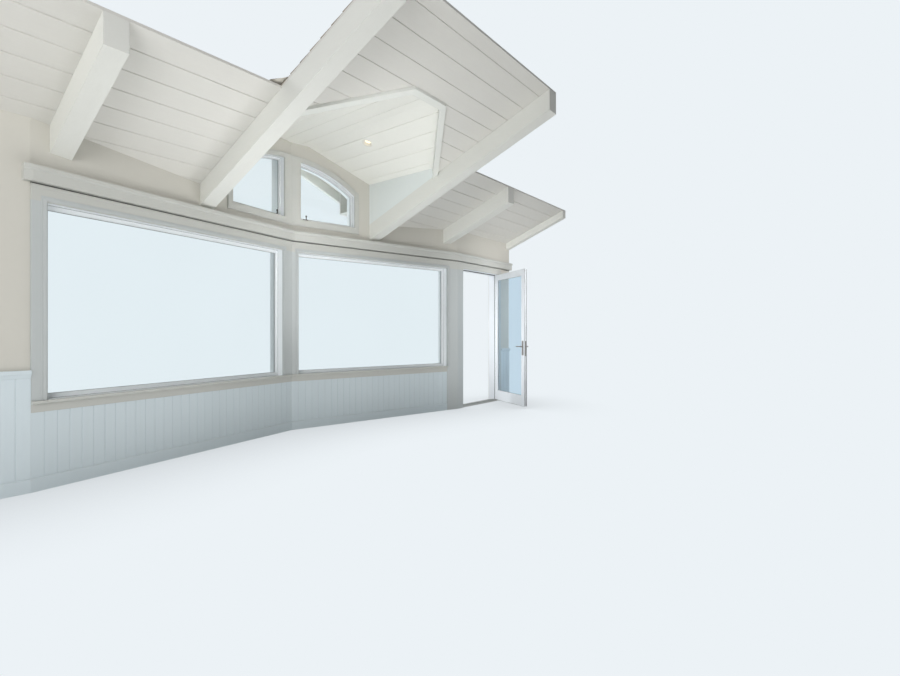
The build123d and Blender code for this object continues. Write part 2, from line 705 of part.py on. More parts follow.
def lamp_axis():
    """Frame of the recessed lamp, on the underside of the right slope of the dormer ceiling."""
    z = STRIP_Z - DORMER_FALL * (LAMP_X - STRIP_HALF)
    tilt = atan2(DORMER_FALL, 1)
    return Pos(LAMP_X, WALL_Y + LAMP_Y, z) * Rot(0, degrees(tilt), 0)


def lamp():
    """Recessed lamp: a flange against the boards and an open can above them."""
    profile = Polyline(
        (LAMP_CAN_R - LAMP_CAN_T, -LAMP_FLANGE),
        (LAMP_R, -LAMP_FLANGE / 2),
        (LAMP_R, 0),
        (LAMP_CAN_R, 0),
        (LAMP_CAN_R, LAMP_DEPTH),
        (0, LAMP_DEPTH),
        (0, LAMP_DEPTH - LAMP_CAN_T),
        (LAMP_CAN_R - LAMP_CAN_T, LAMP_DEPTH - LAMP_CAN_T),
        close=True,
    )
    can = revolve(Plane.XZ * make_face(profile), axis=Axis.Z)
    keep("recessed_lamp", lamp_axis() * can)


def sloping_beam(x, width, height, reach):
    """One beam under the main ceiling, from the wall to a distance into the room."""
    depth = SLOPE - under_slope(-height)
    return ((depth & ROOM) & Pos(x, 0, 0) * Box(width, FAR, 2 * FAR)) & into_room(reach)


def into_room(reach):
    """All the space nearer to the wall than a distance into the room."""
    return Pos(0, WALL_Y - reach + FAR, 0) * Box(2 * FAR, 2 * FAR, 2 * FAR)


def main_ceiling():
    """Sloping beams, and the boards of the main ceiling round the dormer and beside it."""
    layer = under_slope(CEILING_T) - SLOPE
    inner = DORMER_HALF + BEAM_W
    boards = (layer & Box(2 * inner, 2 * FAR, 2 * FAR)) & into_room(SLOPE_BACK)
    boards = (boards & ROOM) - well()
    side_layer = (layer & room_side(WALL_T)) & into_room(SIDE_REACH)
    for name, side, outer in (("left", -1, -LEFT_END[0]), ("right", 1, RIGHT_END[0])):
        cheek_x = side * (DORMER_HALF + CHEEK_T / 2)
        boards -= under_roof(ROOF_T) & (Pos(cheek_x, 0, 0) * Box(CHEEK_T, FAR, 2 * FAR))
        x = side * (DORMER_HALF + BEAM_W / 2)
        keep(f"{name}_beam", sloping_beam(x, BEAM_W, BEAM_H, SLOPE_BACK))
        keep(f"{name}_side_beams",
             sloping_beam(x + side * SIDE_BEAM_STEP, BEAM_W, BEAM_H, SIDE_REACH),
             sloping_beam(side * (outer - END_RAFTER_W / 2), END_RAFTER_W, END_RAFTER_H, SIDE_REACH))
        span = Pos(side * (inner + outer) / 2, 0, 0) * Box(outer - inner, 2 * FAR, 2 * FAR)
        keep(f"{name}_side_ceiling", side_layer & span)
    keep("slope_ceiling", boards)


structure()
picture_window("left", bay_left, LEFT_JAMB, BAY_RUN - POST_LEFT)
picture_window("right", bay_right, POST_RIGHT, BAY_RUN - RIGHT_JAMB)
trim()
lower_wall()
door_frame()
door_hinges()
door_leaf()
dormer_front()
cranks()
dormer_shell()
lamp()
main_ceiling()

for node_name, solid in nodes.items():
    export_step(solid, f"parts/{node_name}.step")
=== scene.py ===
"""Looks of the bowed window wall with its dormer and garden door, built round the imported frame.

Metres, in the frame of the CAD: +Z up, +X along the wall towards the door, +Y out of the room. The
origin is on the floor under the post between the two picture windows.
"""
from __future__ import annotations

import sys

import logging
import math
import random
from dataclasses import dataclass, field
from enum import Enum
from typing import Callable, Sequence

import bpy
from mathutils import Matrix, Vector


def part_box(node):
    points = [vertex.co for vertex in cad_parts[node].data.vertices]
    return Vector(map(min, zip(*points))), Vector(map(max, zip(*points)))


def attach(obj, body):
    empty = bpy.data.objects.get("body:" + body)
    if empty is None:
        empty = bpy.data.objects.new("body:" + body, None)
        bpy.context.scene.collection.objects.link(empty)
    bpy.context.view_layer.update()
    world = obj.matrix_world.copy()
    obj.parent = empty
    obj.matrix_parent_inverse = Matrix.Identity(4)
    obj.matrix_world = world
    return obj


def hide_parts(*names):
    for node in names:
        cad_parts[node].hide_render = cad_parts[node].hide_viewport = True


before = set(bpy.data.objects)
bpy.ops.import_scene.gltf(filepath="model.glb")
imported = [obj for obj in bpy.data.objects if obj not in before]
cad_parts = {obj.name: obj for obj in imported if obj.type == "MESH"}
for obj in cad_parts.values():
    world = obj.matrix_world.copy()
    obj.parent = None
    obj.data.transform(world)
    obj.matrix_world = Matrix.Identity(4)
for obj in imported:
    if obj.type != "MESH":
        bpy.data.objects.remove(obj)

LOG = logging.getLogger("window_wall")

# Plan of the wall
LEFT_WALL_W = 1.571
BAY_HALF = 2.650
BAY_RISE = 0.563
DOOR_X = 2.795
DOOR_W = 1.031
END_WALL_W = 0.395
WALL_T = 0.180
BEND_Y = -WALL_T / 2
WALL_Y = BEND_Y - BAY_RISE

# Picture windows
SILL_Z = 0.685
HEAD_Z = 2.200
LEFT_JAMB = 0.105
POST_LEFT = 0.145
POST_RIGHT = 0.090
RIGHT_JAMB = 0.218
SASH_SETBACK = 0.072
CASING_T = 0.020
OUTER_CASING_W = 0.080
OUTER_CASING_T = 0.022

# Heights over the windows
CORNICE_Z = 2.334
CEILING_AT_WALL = 2.816
CEILING_FALL = 0.387
CEILING_T = 0.020

# Door
DOOR_H = 2.218
THRESHOLD_H = 0.025
LEAF_T = 0.045
LEAF_GAP = 0.010
LEAF_OPEN = math.radians(60)
LEVER_Z = 0.980
LEVER_INSET = 0.048
HINGE_OUT = 0.008
DOOR_NEAR = DOOR_X - BAY_HALF
DOOR_FAR = DOOR_X + DOOR_W - BAY_HALF

# Dormer
DORMER_HALF = 1.090
CHEEK_T = 0.090
STRIP_HALF = 0.228
STRIP_Z = 3.550
DORMER_FALL = 0.365
ROOF_TOP_Z = 3.784
ROOF_T = 0.060
EAVE_OVERHANG = 0.270
DW_START = 0.120
DW_END = 0.880
DW_SILL_Z = 2.612
ARCH_R = 1.459
ARCH_CENTRE_Z = 1.871
LAMP_X = 0.450
LAMP_Y = WALL_Y - 0.323

ROOM = Vector((0.0, -1.0, 0.0))
SEA = Vector((0.0, 1.0, 0.0))
UP = Vector((0.0, 0.0, 1.0))

Test = Callable[[Vector, Vector], bool]


class Body(Enum):
    """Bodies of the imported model."""

    WALL = "wall"
    DOOR = "door"


class Slot(Enum):
    """Material slots of the record."""

    WALL = "wall_paint"
    TRIM = "trim_paint"
    SASH = "sash_paint"
    CEILING = "ceiling_boards"
    ROOF = "roof_deck"
    RAKE = "rake_paint"
    DOOR = "door_paint"
    NICKEL = "nickel"
    HINGE = "hinge_metal"
    DARK = "dark_metal"
    LAMP = "lamp_enamel"
    SILL = "sill_metal"


class Element(Enum):
    """What a selection in edit mode is made of."""

    VERT = (True, False, False)
    FACE = (False, False, True)


@dataclass(frozen=True)
class Run:
    """One straight stretch of the wall: s runs along its room face, n outwards from it."""

    start: tuple[float, float]
    end: tuple[float, float]
    mitre_start: float = 0.0
    mitre_end: float = 0.0

    @property
    def angle(self) -> float:
        """Turn of the run from +X, in radians."""
        return math.atan2(self.end[1] - self.start[1], self.end[0] - self.start[0])

    @property
    def length(self) -> float:
        """Length of the run along its room face."""
        return math.hypot(self.end[0] - self.start[0], self.end[1] - self.start[1])

    def matrix(self) -> Matrix:
        """Matrix from the run's own (s, n, z) to the frame."""
        return Matrix.Translation((*self.start, 0.0)) @ Matrix.Rotation(self.angle, 4, "Z")


BAY_ANGLE = math.atan2(BAY_RISE, BAY_HALF)
BAY_RUN = math.hypot(BAY_RISE, BAY_HALF)
INNER_MITRE = math.tan(BAY_ANGLE / 2)
BEND_MITRE = math.tan(BAY_ANGLE)
LEFT_RUN = Run((-BAY_HALF - LEFT_WALL_W, WALL_Y), (-BAY_HALF, WALL_Y), 0.0, -INNER_MITRE)
BAY_LEFT = Run((-BAY_HALF, WALL_Y), (0.0, BEND_Y), INNER_MITRE, BEND_MITRE)
BAY_RIGHT = Run((0.0, BEND_Y), (BAY_HALF, WALL_Y), -BEND_MITRE, -INNER_MITRE)
RIGHT_RUN = Run((BAY_HALF, WALL_Y), (DOOR_X + DOOR_W + END_WALL_W, WALL_Y), INNER_MITRE, 0.0)


def leaf_matrix() -> Matrix:
    """Matrix from the right run, with the leaf closed, to the leaf where it stands open."""
    pin = Vector((DOOR_X + DOOR_W - LEAF_GAP / 2, WALL_Y - HINGE_OUT, 0.0))
    turn = Matrix.Rotation(LEAF_OPEN, 4, "Z")
    return Matrix.Translation(pin) @ turn @ Matrix.Translation(-pin) @ RIGHT_RUN.matrix()


# Modelling by operators


def deselect() -> None:
    """Leave edit mode and deselect everything."""
    if bpy.context.mode != "OBJECT":
        bpy.ops.object.mode_set(mode="OBJECT")
    bpy.ops.object.select_all(action="DESELECT")


def pick(*objects: bpy.types.Object) -> None:
    """Select these objects alone, the first one active."""
    deselect()
    for obj in objects:
        obj.select_set(True)
    bpy.context.view_layer.objects.active = objects[0]


def settle(obj: bpy.types.Object) -> bpy.types.Object:
    """Put an object's place, turn and size into its mesh."""
    pick(obj)
    bpy.ops.object.transform_apply(location=True, rotation=True, scale=True)
    return obj


def place(obj: bpy.types.Object, matrix: Matrix) -> bpy.types.Object:
    """Carry a piece from its own axes into the frame."""
    obj.matrix_world = matrix
    return settle(obj)


def block(name: str, low: Sequence[float], high: Sequence[float]) -> bpy.types.Object:
    """Add a block between two corners.

    Args:
        name: Name of the object.
        low: Lowest corner.
        high: Highest corner.

    Returns:
        The block, with its place in its mesh.
    """
    deselect()
    middle = [(a + b) / 2 for a, b in zip(low, high)]
    bpy.ops.mesh.primitive_cube_add(size=1, location=middle)
    obj = bpy.context.object
    obj.name = obj.data.name = name
    obj.scale = [b - a for a, b in zip(low, high)]
    return settle(obj)


def anything(centre: Vector, normal: Vector) -> bool:
    """Pass every face or vertex."""
    return True


def turned_to(direction: Vector) -> Test:
    """Make a test that passes the faces turned towards a direction."""
    return lambda centre, normal: normal.dot(direction) > 0.9


def open_up(obj: bpy.types.Object, element: Element, test: Test) -> None:
    """Enter edit mode with the faces or vertices selected that pass a test.

    Args:
        obj: Piece to edit.
        element: FACE or VERT.
        test: Takes an element's centre and normal.
    """
    pick(obj)
    bpy.context.tool_settings.mesh_select_mode = element.value
    bpy.ops.object.mode_set(mode="EDIT")
    bpy.ops.mesh.select_all(action="DESELECT")
    bpy.ops.object.mode_set(mode="OBJECT")
    if element is Element.FACE:
        for face in obj.data.polygons:
            face.select = test(face.center, face.normal)
    else:
        for vert in obj.data.vertices:
            vert.select = test(vert.co, vert.normal)
    bpy.ops.object.mode_set(mode="EDIT")


def close_up() -> None:
    """Leave edit mode with the normals pointing outwards."""
    bpy.ops.mesh.select_all(action="SELECT")
    bpy.ops.mesh.normals_make_consistent(inside=False)
    bpy.ops.object.mode_set(mode="OBJECT")


def shift(
    obj: bpy.types.Object, element: Element, test: Test, step: Sequence[float]
) -> bpy.types.Object:
    """Move some faces or vertices of a piece.

    Args:
        obj: Piece to edit.
        element: FACE or VERT.
        test: Picks what moves.
        step: How far it moves.

    Returns:
        The same piece.
    """
    open_up(obj, element, test)
    bpy.ops.transform.translate(value=tuple(step))
    close_up()
    return obj


def widen(obj: bpy.types.Object, test: Test, share: float) -> None:
    """Scale some faces of a piece along Y."""
    open_up(obj, Element.FACE, test)
    bpy.ops.transform.resize(value=(1, share, 1))
    close_up()


def bisect(
    obj: bpy.types.Object, point: Sequence[float], normal: Sequence[float]
) -> bpy.types.Object:
    """Cut a piece by a plane, drop what lies in front of it and close the cut.

    Args:
        obj: Piece to cut.
        point: A point of the plane.
        normal: Direction in which the mesh is dropped.

    Returns:
        The same piece.
    """
    open_up(obj, Element.FACE, anything)
    bpy.ops.mesh.bisect(
        plane_co=tuple(point), plane_no=tuple(normal), use_fill=True, clear_outer=True
    )
    close_up()
    return obj


def soften(obj: bpy.types.Object, width: float, segments: int = 2) -> bpy.types.Object:
    """Round a piece's sharp edges."""
    pick(obj)
    rounded = obj.modifiers.new("edges", "BEVEL")
    rounded.width = width
    rounded.segments = segments
    rounded.limit_method = "ANGLE"
    rounded.angle_limit = math.radians(30)
    bpy.ops.object.modifier_apply(modifier=rounded.name)
    return obj


def repeat(obj: bpy.types.Object, count: int, step: Sequence[float]) -> bpy.types.Object:
    """Repeat a piece along a step."""
    pick(obj)
    row = obj.modifiers.new("row", "ARRAY")
    row.count = count
    row.use_relative_offset = False
    row.use_constant_offset = True
    row.constant_offset_displace = step
    bpy.ops.object.modifier_apply(modifier=row.name)
    return obj


def carve(
    obj: bpy.types.Object, cutter: bpy.types.Object, operation: str = "DIFFERENCE"
) -> bpy.types.Object:
    """Cut a piece with another one, which is used up."""
    pick(obj)
    cut = obj.modifiers.new("cut", "BOOLEAN")
    cut.operation = operation
    cut.solver = "EXACT"
    cut.object = cutter
    bpy.ops.object.modifier_apply(modifier=cut.name)
    bpy.data.objects.remove(cutter, do_unlink=True)
    return obj


def join(name: str, objects: Sequence[bpy.types.Object]) -> bpy.types.Object:
    """Join pieces into one."""
    pick(*objects)
    if len(objects) > 1:
        bpy.ops.object.join()
    obj = bpy.context.object
    obj.name = obj.data.name = name
    return obj


def twin(obj: bpy.types.Object, name: str) -> bpy.types.Object:
    """Copy a piece with a mesh of its own."""
    pick(obj)
    bpy.ops.object.duplicate(linked=False)
    copy = bpy.context.object
    copy.name = copy.data.name = name
    return copy


def lifted(node: str, name: str) -> bpy.types.Object:
    """Copy a CAD node's mesh into a new piece and merge its loose triangles."""
    obj = bpy.data.objects.new(name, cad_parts[node].data.copy())
    bpy.context.scene.collection.objects.link(obj)
    obj.data.name = name
    obj.data.materials.clear()
    open_up(obj, Element.FACE, anything)
    bpy.ops.mesh.remove_doubles(threshold=1e-5)
    bpy.ops.mesh.dissolve_limited(angle_limit=math.radians(0.2))
    close_up()
    return obj


def inset(width: float) -> None:
    """Inset the open faces from their borders, with the inner faces selected."""
    bpy.ops.mesh.inset(thickness=width, use_boundary=True, use_even_offset=True)


def drop_selected() -> None:
    """Delete the selected faces and select what is left."""
    bpy.ops.mesh.delete(type="FACE")
    bpy.ops.mesh.select_all(action="SELECT")


def wall_ring(
    name: str, box: Sequence[float], width: float, n: float, height: float
) -> bpy.types.Object:
    """Model a flat mitred ring round an opening, in a run's own axes.

    Args:
        name: Name of the piece.
        box: s and z of the inner edge: low s, low z, high s, high z.
        width: Width of the ring outside that edge.
        n: Depth of its back.
        height: How far it stands off its back, towards the room where negative.

    Returns:
        The ring, not yet placed on its run.
    """
    deselect()
    s0, z0, s1, z1 = box
    bpy.ops.mesh.primitive_plane_add(
        size=1, location=((s0 + s1) / 2, n, (z0 + z1) / 2), rotation=(math.pi / 2, 0, 0)
    )
    obj = bpy.context.object
    obj.name = obj.data.name = name
    obj.scale = (s1 - s0 + 2 * width, z1 - z0 + 2 * width, 1)
    settle(obj)
    open_up(obj, Element.FACE, anything)
    inset(width)
    drop_selected()
    bpy.ops.mesh.extrude_region_move(TRANSFORM_OT_translate={"value": (0, height, 0)})
    close_up()
    return obj


def edge_strips(
    node: str, name: str, test: Test, gap: float, width: float, height: float
) -> bpy.types.Object:
    """Model raised strips along every border of some of a node's faces.

    Args:
        node: CAD node that the faces belong to.
        name: Name of the new piece.
        test: Picks the faces by their centre and normal.
        gap: Distance of the strips from the border.
        width: Width of the strips.
        height: How far they stand off the faces.

    Returns:
        The strips as one closed mesh.
    """
    obj = lifted(node, name)
    open_up(obj, Element.FACE, lambda centre, normal: not test(centre, normal))
    drop_selected()
    if gap > 0:
        inset(gap)
        bpy.ops.mesh.select_all(action="INVERT")
        drop_selected()
    inset(width)
    drop_selected()
    bpy.ops.mesh.extrude_region_shrink_fatten(
        TRANSFORM_OT_shrink_fatten={"value": height, "use_even_offset": True}
    )
    close_up()
    return obj


def mitred(obj: bpy.types.Object, run: Run) -> bpy.types.Object:
    """Cut a piece that overruns its run along the mitres at both ends."""
    bisect(obj, (0, 0, 0), (-1, run.mitre_start, 0))
    return bisect(obj, (run.length, 0, 0), (1, -run.mitre_end, 0))


def rod(
    name: str, at: Sequence[float], axis: str, radius: float, length: float, sides: int = 24
) -> bpy.types.Object:
    """Add a round piece.

    Args:
        name: Name of the piece.
        at: Its middle.
        axis: X, Y or Z.
        radius: Its radius.
        length: Its length along the axis.
        sides: Sides of its outline.

    Returns:
        The rod, with its place in its mesh.
    """
    deselect()
    turns = {"X": (0, math.pi / 2, 0), "Y": (math.pi / 2, 0, 0), "Z": (0, 0, 0)}
    bpy.ops.mesh.primitive_cylinder_add(
        vertices=sides, radius=radius, depth=length, location=tuple(at), rotation=turns[axis]
    )
    obj = bpy.context.object
    obj.name = obj.data.name = name
    return settle(obj)


def screw(
    name: str, at: Sequence[float], facing: Sequence[float], radius: float
) -> bpy.types.Object:
    """Model a domed screw head with a straight slot, half sunk in the surface it sits on.

    Args:
        name: Name of the piece.
        at: Its middle, on the surface.
        facing: Direction in which the surface faces.
        radius: Radius of the head.

    Returns:
        The head.
    """
    head = soften(rod(name, (0, 0, 0), "Z", radius, radius * 0.7, 16), radius * 0.28, 2)
    half = 0.13 * radius
    slot = block("slot", (-2 * radius, -half, 0.12 * radius), (2 * radius, half, radius))
    turn = Vector(facing).to_track_quat("Z", "Y").to_matrix().to_4x4()
    return place(carve(head, slot), Matrix.Translation(at) @ turn)


# Shader groups


FLOAT = "NodeSocketFloat"
COLOUR = "NodeSocketColor"
VECTOR = "NodeSocketVector"


@dataclass
class Wiring:
    """Adds and links nodes in one tree."""

    tree: bpy.types.NodeTree

    def add(self, kind: str, **settings: object) -> bpy.types.Node:
        """Add a node and set its properties."""
        node = self.tree.nodes.new("ShaderNode" + kind)
        for key, value in settings.items():
            setattr(node, key, value)
        return node

    def feed(self, node: bpy.types.Node, **values: object) -> bpy.types.Node:
        """Link or set a node's inputs, named with _ for spaces or by their number."""
        for key, value in values.items():
            number = key[1:]
            socket = node.inputs[int(number) if number.isdigit() else key.replace("_", " ")]
            if isinstance(value, bpy.types.NodeSocket):
                self.tree.links.new(value, socket)
            else:
                socket.default_value = value
        return node

    def spot(self) -> bpy.types.NodeSocket:
        """Give the place on the piece, in the frame."""
        return self.add("TexCoord").outputs["Object"]

    def math(
        self, operation: str, a: object, b: object = 0.0, clamp: bool = False
    ) -> bpy.types.NodeSocket:
        """Add a Math node and return its result."""
        node = self.add("Math", operation=operation, use_clamp=clamp)
        self.feed(node, _0=a, _1=b)
        return node.outputs[0]

    def plus(self, a: object, b: object, clamp: bool = False) -> bpy.types.NodeSocket:
        """Add two values."""
        return self.math("ADD", a, b, clamp)

    def times(self, a: object, b: object, clamp: bool = False) -> bpy.types.NodeSocket:
        """Multiply two values."""
        return self.math("MULTIPLY", a, b, clamp)

    def swing(self, value: object, reach: object) -> bpy.types.NodeSocket:
        """Turn a value about 0.5 into one about zero, and scale it."""
        return self.times(self.math("SUBTRACT", value, 0.5), reach)

    def spread(
        self, value: object, low: float, high: float, to_low: float, to_high: float
    ) -> bpy.types.NodeSocket:
        """Map a value from one range to another, clamped."""
        node = self.add("MapRange")
        self.feed(node, _0=value, _1=low, _2=high, _3=to_low, _4=to_high)
        return node.outputs[0]

    def blend(
        self, factor: object, a: object, b: object, kind: str = "MIX"
    ) -> bpy.types.NodeSocket:
        """Mix two colours and return the result."""
        node = self.add("Mix", data_type="RGBA", blend_type=kind)
        self.feed(node, _0=factor, _6=a, _7=b)
        return node.outputs[2]

    def shade(self, factor: object, colour: object, shade: object) -> bpy.types.NodeSocket:
        """Multiply a colour by a shade where the factor says so."""
        return self.blend(factor, colour, self.blend(1.0, colour, shade, "MULTIPLY"))

    def noise(
        self, vector: object, scale: object, detail: float = 4.0, rough: float = 0.55
    ) -> bpy.types.NodeSocket:
        """Add a noise texture and return its value."""
        node = self.add("TexNoise")
        self.feed(node, Vector=vector, Scale=scale, Detail=detail, Roughness=rough)
        return node.outputs[0]

    def stretched(self, stretch: object) -> bpy.types.NodeSocket:
        """Give the place on the piece, stretched along its axes."""
        node = self.add("VectorMath", operation="MULTIPLY")
        self.feed(node, _0=self.spot(), _1=stretch)
        return node.outputs[0]

    def bump(self, strength: float, depth: float, **inputs: object) -> bpy.types.NodeSocket:
        """Add a Bump node and return its normal."""
        node = self.add("Bump")
        self.feed(node, Strength=strength, Distance=depth, **inputs)
        return node.outputs[0]


def new_group(
    name: str, inputs: Sequence[tuple[str, str, object]], outputs: Sequence[tuple[str, str]]
) -> tuple[Wiring, bpy.types.NodeOutputs, bpy.types.Node]:
    """Start a shader node group with named sockets.

    Args:
        name: Name of the group.
        inputs: Name, socket type and default of each input.
        outputs: Name and socket type of each output.

    Returns:
        The group's wiring, what it is given, and the node that takes its results.
    """
    tree = bpy.data.node_groups.new(name, "ShaderNodeTree")
    for label, kind, default in inputs:
        socket = tree.interface.new_socket(name=label, in_out="INPUT", socket_type=kind)
        socket.default_value = default
    for label, kind in outputs:
        tree.interface.new_socket(name=label, in_out="OUTPUT", socket_type=kind)
    given = tree.nodes.new("NodeGroupInput").outputs
    return Wiring(tree), given, tree.nodes.new("NodeGroupOutput")


def brushed_paint_group() -> bpy.types.NodeTree:
    """Brushed or rolled paint: slow shifts of tone, fine brush marks along one axis, small pits."""
    w, given, out = new_group(
        "brushed_paint",
        [
            ("Color", COLOUR, (0.8, 0.8, 0.8, 1)),
            ("Stroke", VECTOR, (40.0, 40.0, 40.0)),
            ("Mottle", FLOAT, 0.03),
            ("Roughness", FLOAT, 0.5),
        ],
        [("Color", COLOUR), ("Roughness", FLOAT), ("Height", FLOAT)],
    )
    spot = w.spot()
    strokes = w.noise(w.stretched(given["Stroke"]), 1.0, 5.0, 0.62)
    shift_of_tone = w.swing(w.noise(spot, 1.3, 3.0), given["Mottle"])
    marks = w.swing(strokes, w.times(given["Mottle"], 0.6))
    tint = w.add("HueSaturation")
    bright = w.plus(w.plus(shift_of_tone, marks), 1.0)
    w.feed(tint, Value=bright, Color=given["Color"])
    rough = w.plus(given["Roughness"], w.swing(strokes, 0.16), True)
    height = w.plus(strokes, w.times(w.noise(spot, 420.0, 2.0), 0.35))
    w.feed(out, Color=tint.outputs[0], Roughness=rough, Height=height)
    return w.tree


def edge_wear_group() -> bpy.types.NodeTree:
    """Soft edges on sharp CAD corners, and a mask of where they are worn."""
    w, given, out = new_group(
        "edge_wear",
        [("Radius", FLOAT, 0.003), ("Wear", FLOAT, 0.5), ("Normal", VECTOR, (0.0, 0.0, 0.0))],
        [("Normal", VECTOR), ("Mask", FLOAT)],
    )
    rounded = w.feed(w.add("Bevel", samples=6), Radius=given["Radius"])
    match = w.add("VectorMath", operation="DOT_PRODUCT")
    w.feed(match, _0=rounded.outputs[0], _1=w.add("NewGeometry").outputs["Normal"])
    bend = w.spread(match.outputs["Value"], 0.97, 0.75, 0.0, 1.0)
    patch = w.spread(w.noise(w.spot(), 9.0, 6.0, 0.7), 0.45, 0.65, 0.0, 1.0)
    mask = w.times(w.times(bend, patch), given["Wear"], True)
    w.feed(out, Normal=rounded.outputs[0], Mask=mask)
    return w.tree


def settled_dust_group() -> bpy.types.NodeTree:
    """A thin film of dust on what faces up, broken by noise."""
    w, given, out = new_group("settled_dust", [("Amount", FLOAT, 0.2)], [("Mask", FLOAT)])
    split = w.feed(w.add("SeparateXYZ"), _0=w.add("NewGeometry").outputs["Normal"])
    up = w.spread(split.outputs[2], 0.55, 0.98, 0.0, 1.0)
    cloud = w.spread(w.noise(w.spot(), 14.0, 6.0, 0.65), 0.35, 0.7, 0.15, 1.0)
    w.feed(out, Mask=w.times(w.times(up, cloud), given["Amount"], True))
    return w.tree


def board_grain_group() -> bpy.types.NodeTree:
    """Sawn board grain that shows through paint: long fibres, rings and a few knots."""
    w, given, out = new_group(
        "board_grain",
        [("Stretch", VECTOR, (2.0, 40.0, 40.0)), ("Knots", FLOAT, 0.5)],
        [("Height", FLOAT), ("Mask", FLOAT)],
    )
    along = w.stretched(given["Stretch"])
    fibres = w.noise(along, 3.0, 7.0, 0.7)
    bands = w.noise(along, 0.7, 2.0, 0.5)
    cells = w.feed(w.add("TexVoronoi"), Vector=along, Scale=0.11)
    knot = w.times(w.spread(cells.outputs["Distance"], 0.0, 0.12, 1.0, 0.0), given["Knots"])
    height = w.plus(w.times(fibres, 0.7), w.times(bands, 0.5))
    mask = w.plus(w.spread(fibres, 0.35, 0.7, 0.0, 0.5), knot, True)
    w.feed(out, Height=w.math("SUBTRACT", height, knot), Mask=mask)
    return w.tree


GROUPS: dict[str, bpy.types.NodeTree] = {}


def group(wiring: Wiring, name: str, **values: object) -> bpy.types.Node:
    """Place a shared group in a material, with its own values."""
    makers = {
        "brushed_paint": brushed_paint_group,
        "edge_wear": edge_wear_group,
        "settled_dust": settled_dust_group,
        "board_grain": board_grain_group,
    }
    if name not in GROUPS:
        GROUPS[name] = makers[name]()
    node = wiring.add("Group")
    node.node_tree = GROUPS[name]
    return wiring.feed(node, **values)


# Finishes


def linear(red: int, green: int, blue: int) -> tuple[float, float, float, float]:
    """Colour written as 0-255 display values, as the shader needs it."""
    values = []
    for value in (red, green, blue):
        share = value / 255
        values.append(share / 12.92 if share <= 0.04045 else ((share + 0.055) / 1.055) ** 2.4)
    return (*values, 1.0)


def toned_down(colour: Sequence[float], share: float, lift: float = 0.0) -> tuple[float, ...]:
    """Scale a colour by a share, and lift it."""
    return (*(min(1.0, value * share + lift) for value in colour[:3]), 1.0)


DUST = linear(196, 190, 176)
SEAL_DUST = linear(150, 146, 136)
GRAIN_SHADE = (0.80, 0.78, 0.74, 1)
LAP_SHADE = (0.46, 0.45, 0.43, 1)
STREAK_SHADE = (0.6, 0.57, 0.53, 1)


def start_material(name: str) -> tuple[bpy.types.Material, Wiring, bpy.types.Node]:
    """Start a node material.

    Args:
        name: Name of the material.

    Returns:
        The material, its wiring and its Principled shader.
    """
    material = bpy.data.materials.new(name)
    material.use_nodes = True
    wiring = Wiring(material.node_tree)
    return material, wiring, material.node_tree.nodes["Principled BSDF"]


@dataclass(frozen=True)
class Paint:
    """Brushed or rolled paint, with worn edges, dust, board grain where it applies, and painted
    shade under lapped boards.
    """

    name: str
    colour: tuple[int, int, int]
    worn: tuple[int, int, int] = (176, 168, 150)
    roughness: float = 0.5
    mottle: float = 0.05
    stroke: tuple[float, float, float] = (30.0, 30.0, 30.0)
    bump: float = 0.12
    depth: float = 0.0012
    grain: tuple[float, float, float] | None = None
    grain_tint: float = 0.12
    radius: float = 0.003
    wear: float = 0.35
    dust: float = 0.25
    laps: tuple[float, float] | None = None

    def painted_lap_shade(self, w: Wiring, colour: object) -> bpy.types.NodeSocket:
        """Darken the line right under each lapped board: painted shade under the next board's butt,
        broken up by noise.

        Args:
            w: Wiring of the material.
            colour: Colour without the painted shade.

        Returns:
            The colour with it.
        """
        foot, exposure = self.laps
        spot = w.spot()
        split = w.feed(w.add("SeparateXYZ"), _0=spot)
        risen = w.math("DIVIDE", w.math("SUBTRACT", split.outputs[2], foot), exposure)
        # painted shade: darkest in the band just under each butt, where the lap's shadow falls
        under = w.spread(w.math("FRACT", risen), 0.82, 0.96, 0.0, 1.0)
        patchy = w.spread(w.noise(spot, 6.0, 5.0, 0.65), 0.3, 0.6, 0.65, 1.0)
        return w.shade(w.times(under, patchy), colour, LAP_SHADE)

    def make(self) -> bpy.types.Material:
        """Build the material."""
        material, w, shader = start_material(self.name)
        paint = group(
            w, "brushed_paint", Color=linear(*self.colour), Stroke=self.stroke,
            Mottle=self.mottle, Roughness=self.roughness,
        ).outputs
        edge = group(w, "edge_wear", Radius=self.radius, Wear=self.wear).outputs
        dust = group(w, "settled_dust", Amount=self.dust).outputs
        colour, height = paint["Color"], paint["Height"]
        if self.grain:
            grain = group(w, "board_grain", Stretch=self.grain).outputs
            colour = w.shade(w.times(grain["Mask"], self.grain_tint), colour, GRAIN_SHADE)
            height = w.plus(height, w.times(grain["Height"], 1.6))
        # painted shade under each lapped board
        if self.laps:
            colour = self.painted_lap_shade(w, colour)
        colour = w.blend(edge["Mask"], colour, linear(*self.worn))
        colour = w.blend(dust["Mask"], colour, DUST)
        normal = w.bump(self.bump, self.depth, Height=height, Normal=edge["Normal"])
        rough = w.plus(paint["Roughness"], w.times(edge["Mask"], 0.15), True)
        w.feed(shader, Base_Color=colour, Roughness=rough, Normal=normal)
        shader.inputs["Specular IOR Level"].default_value = 0.4
        return material


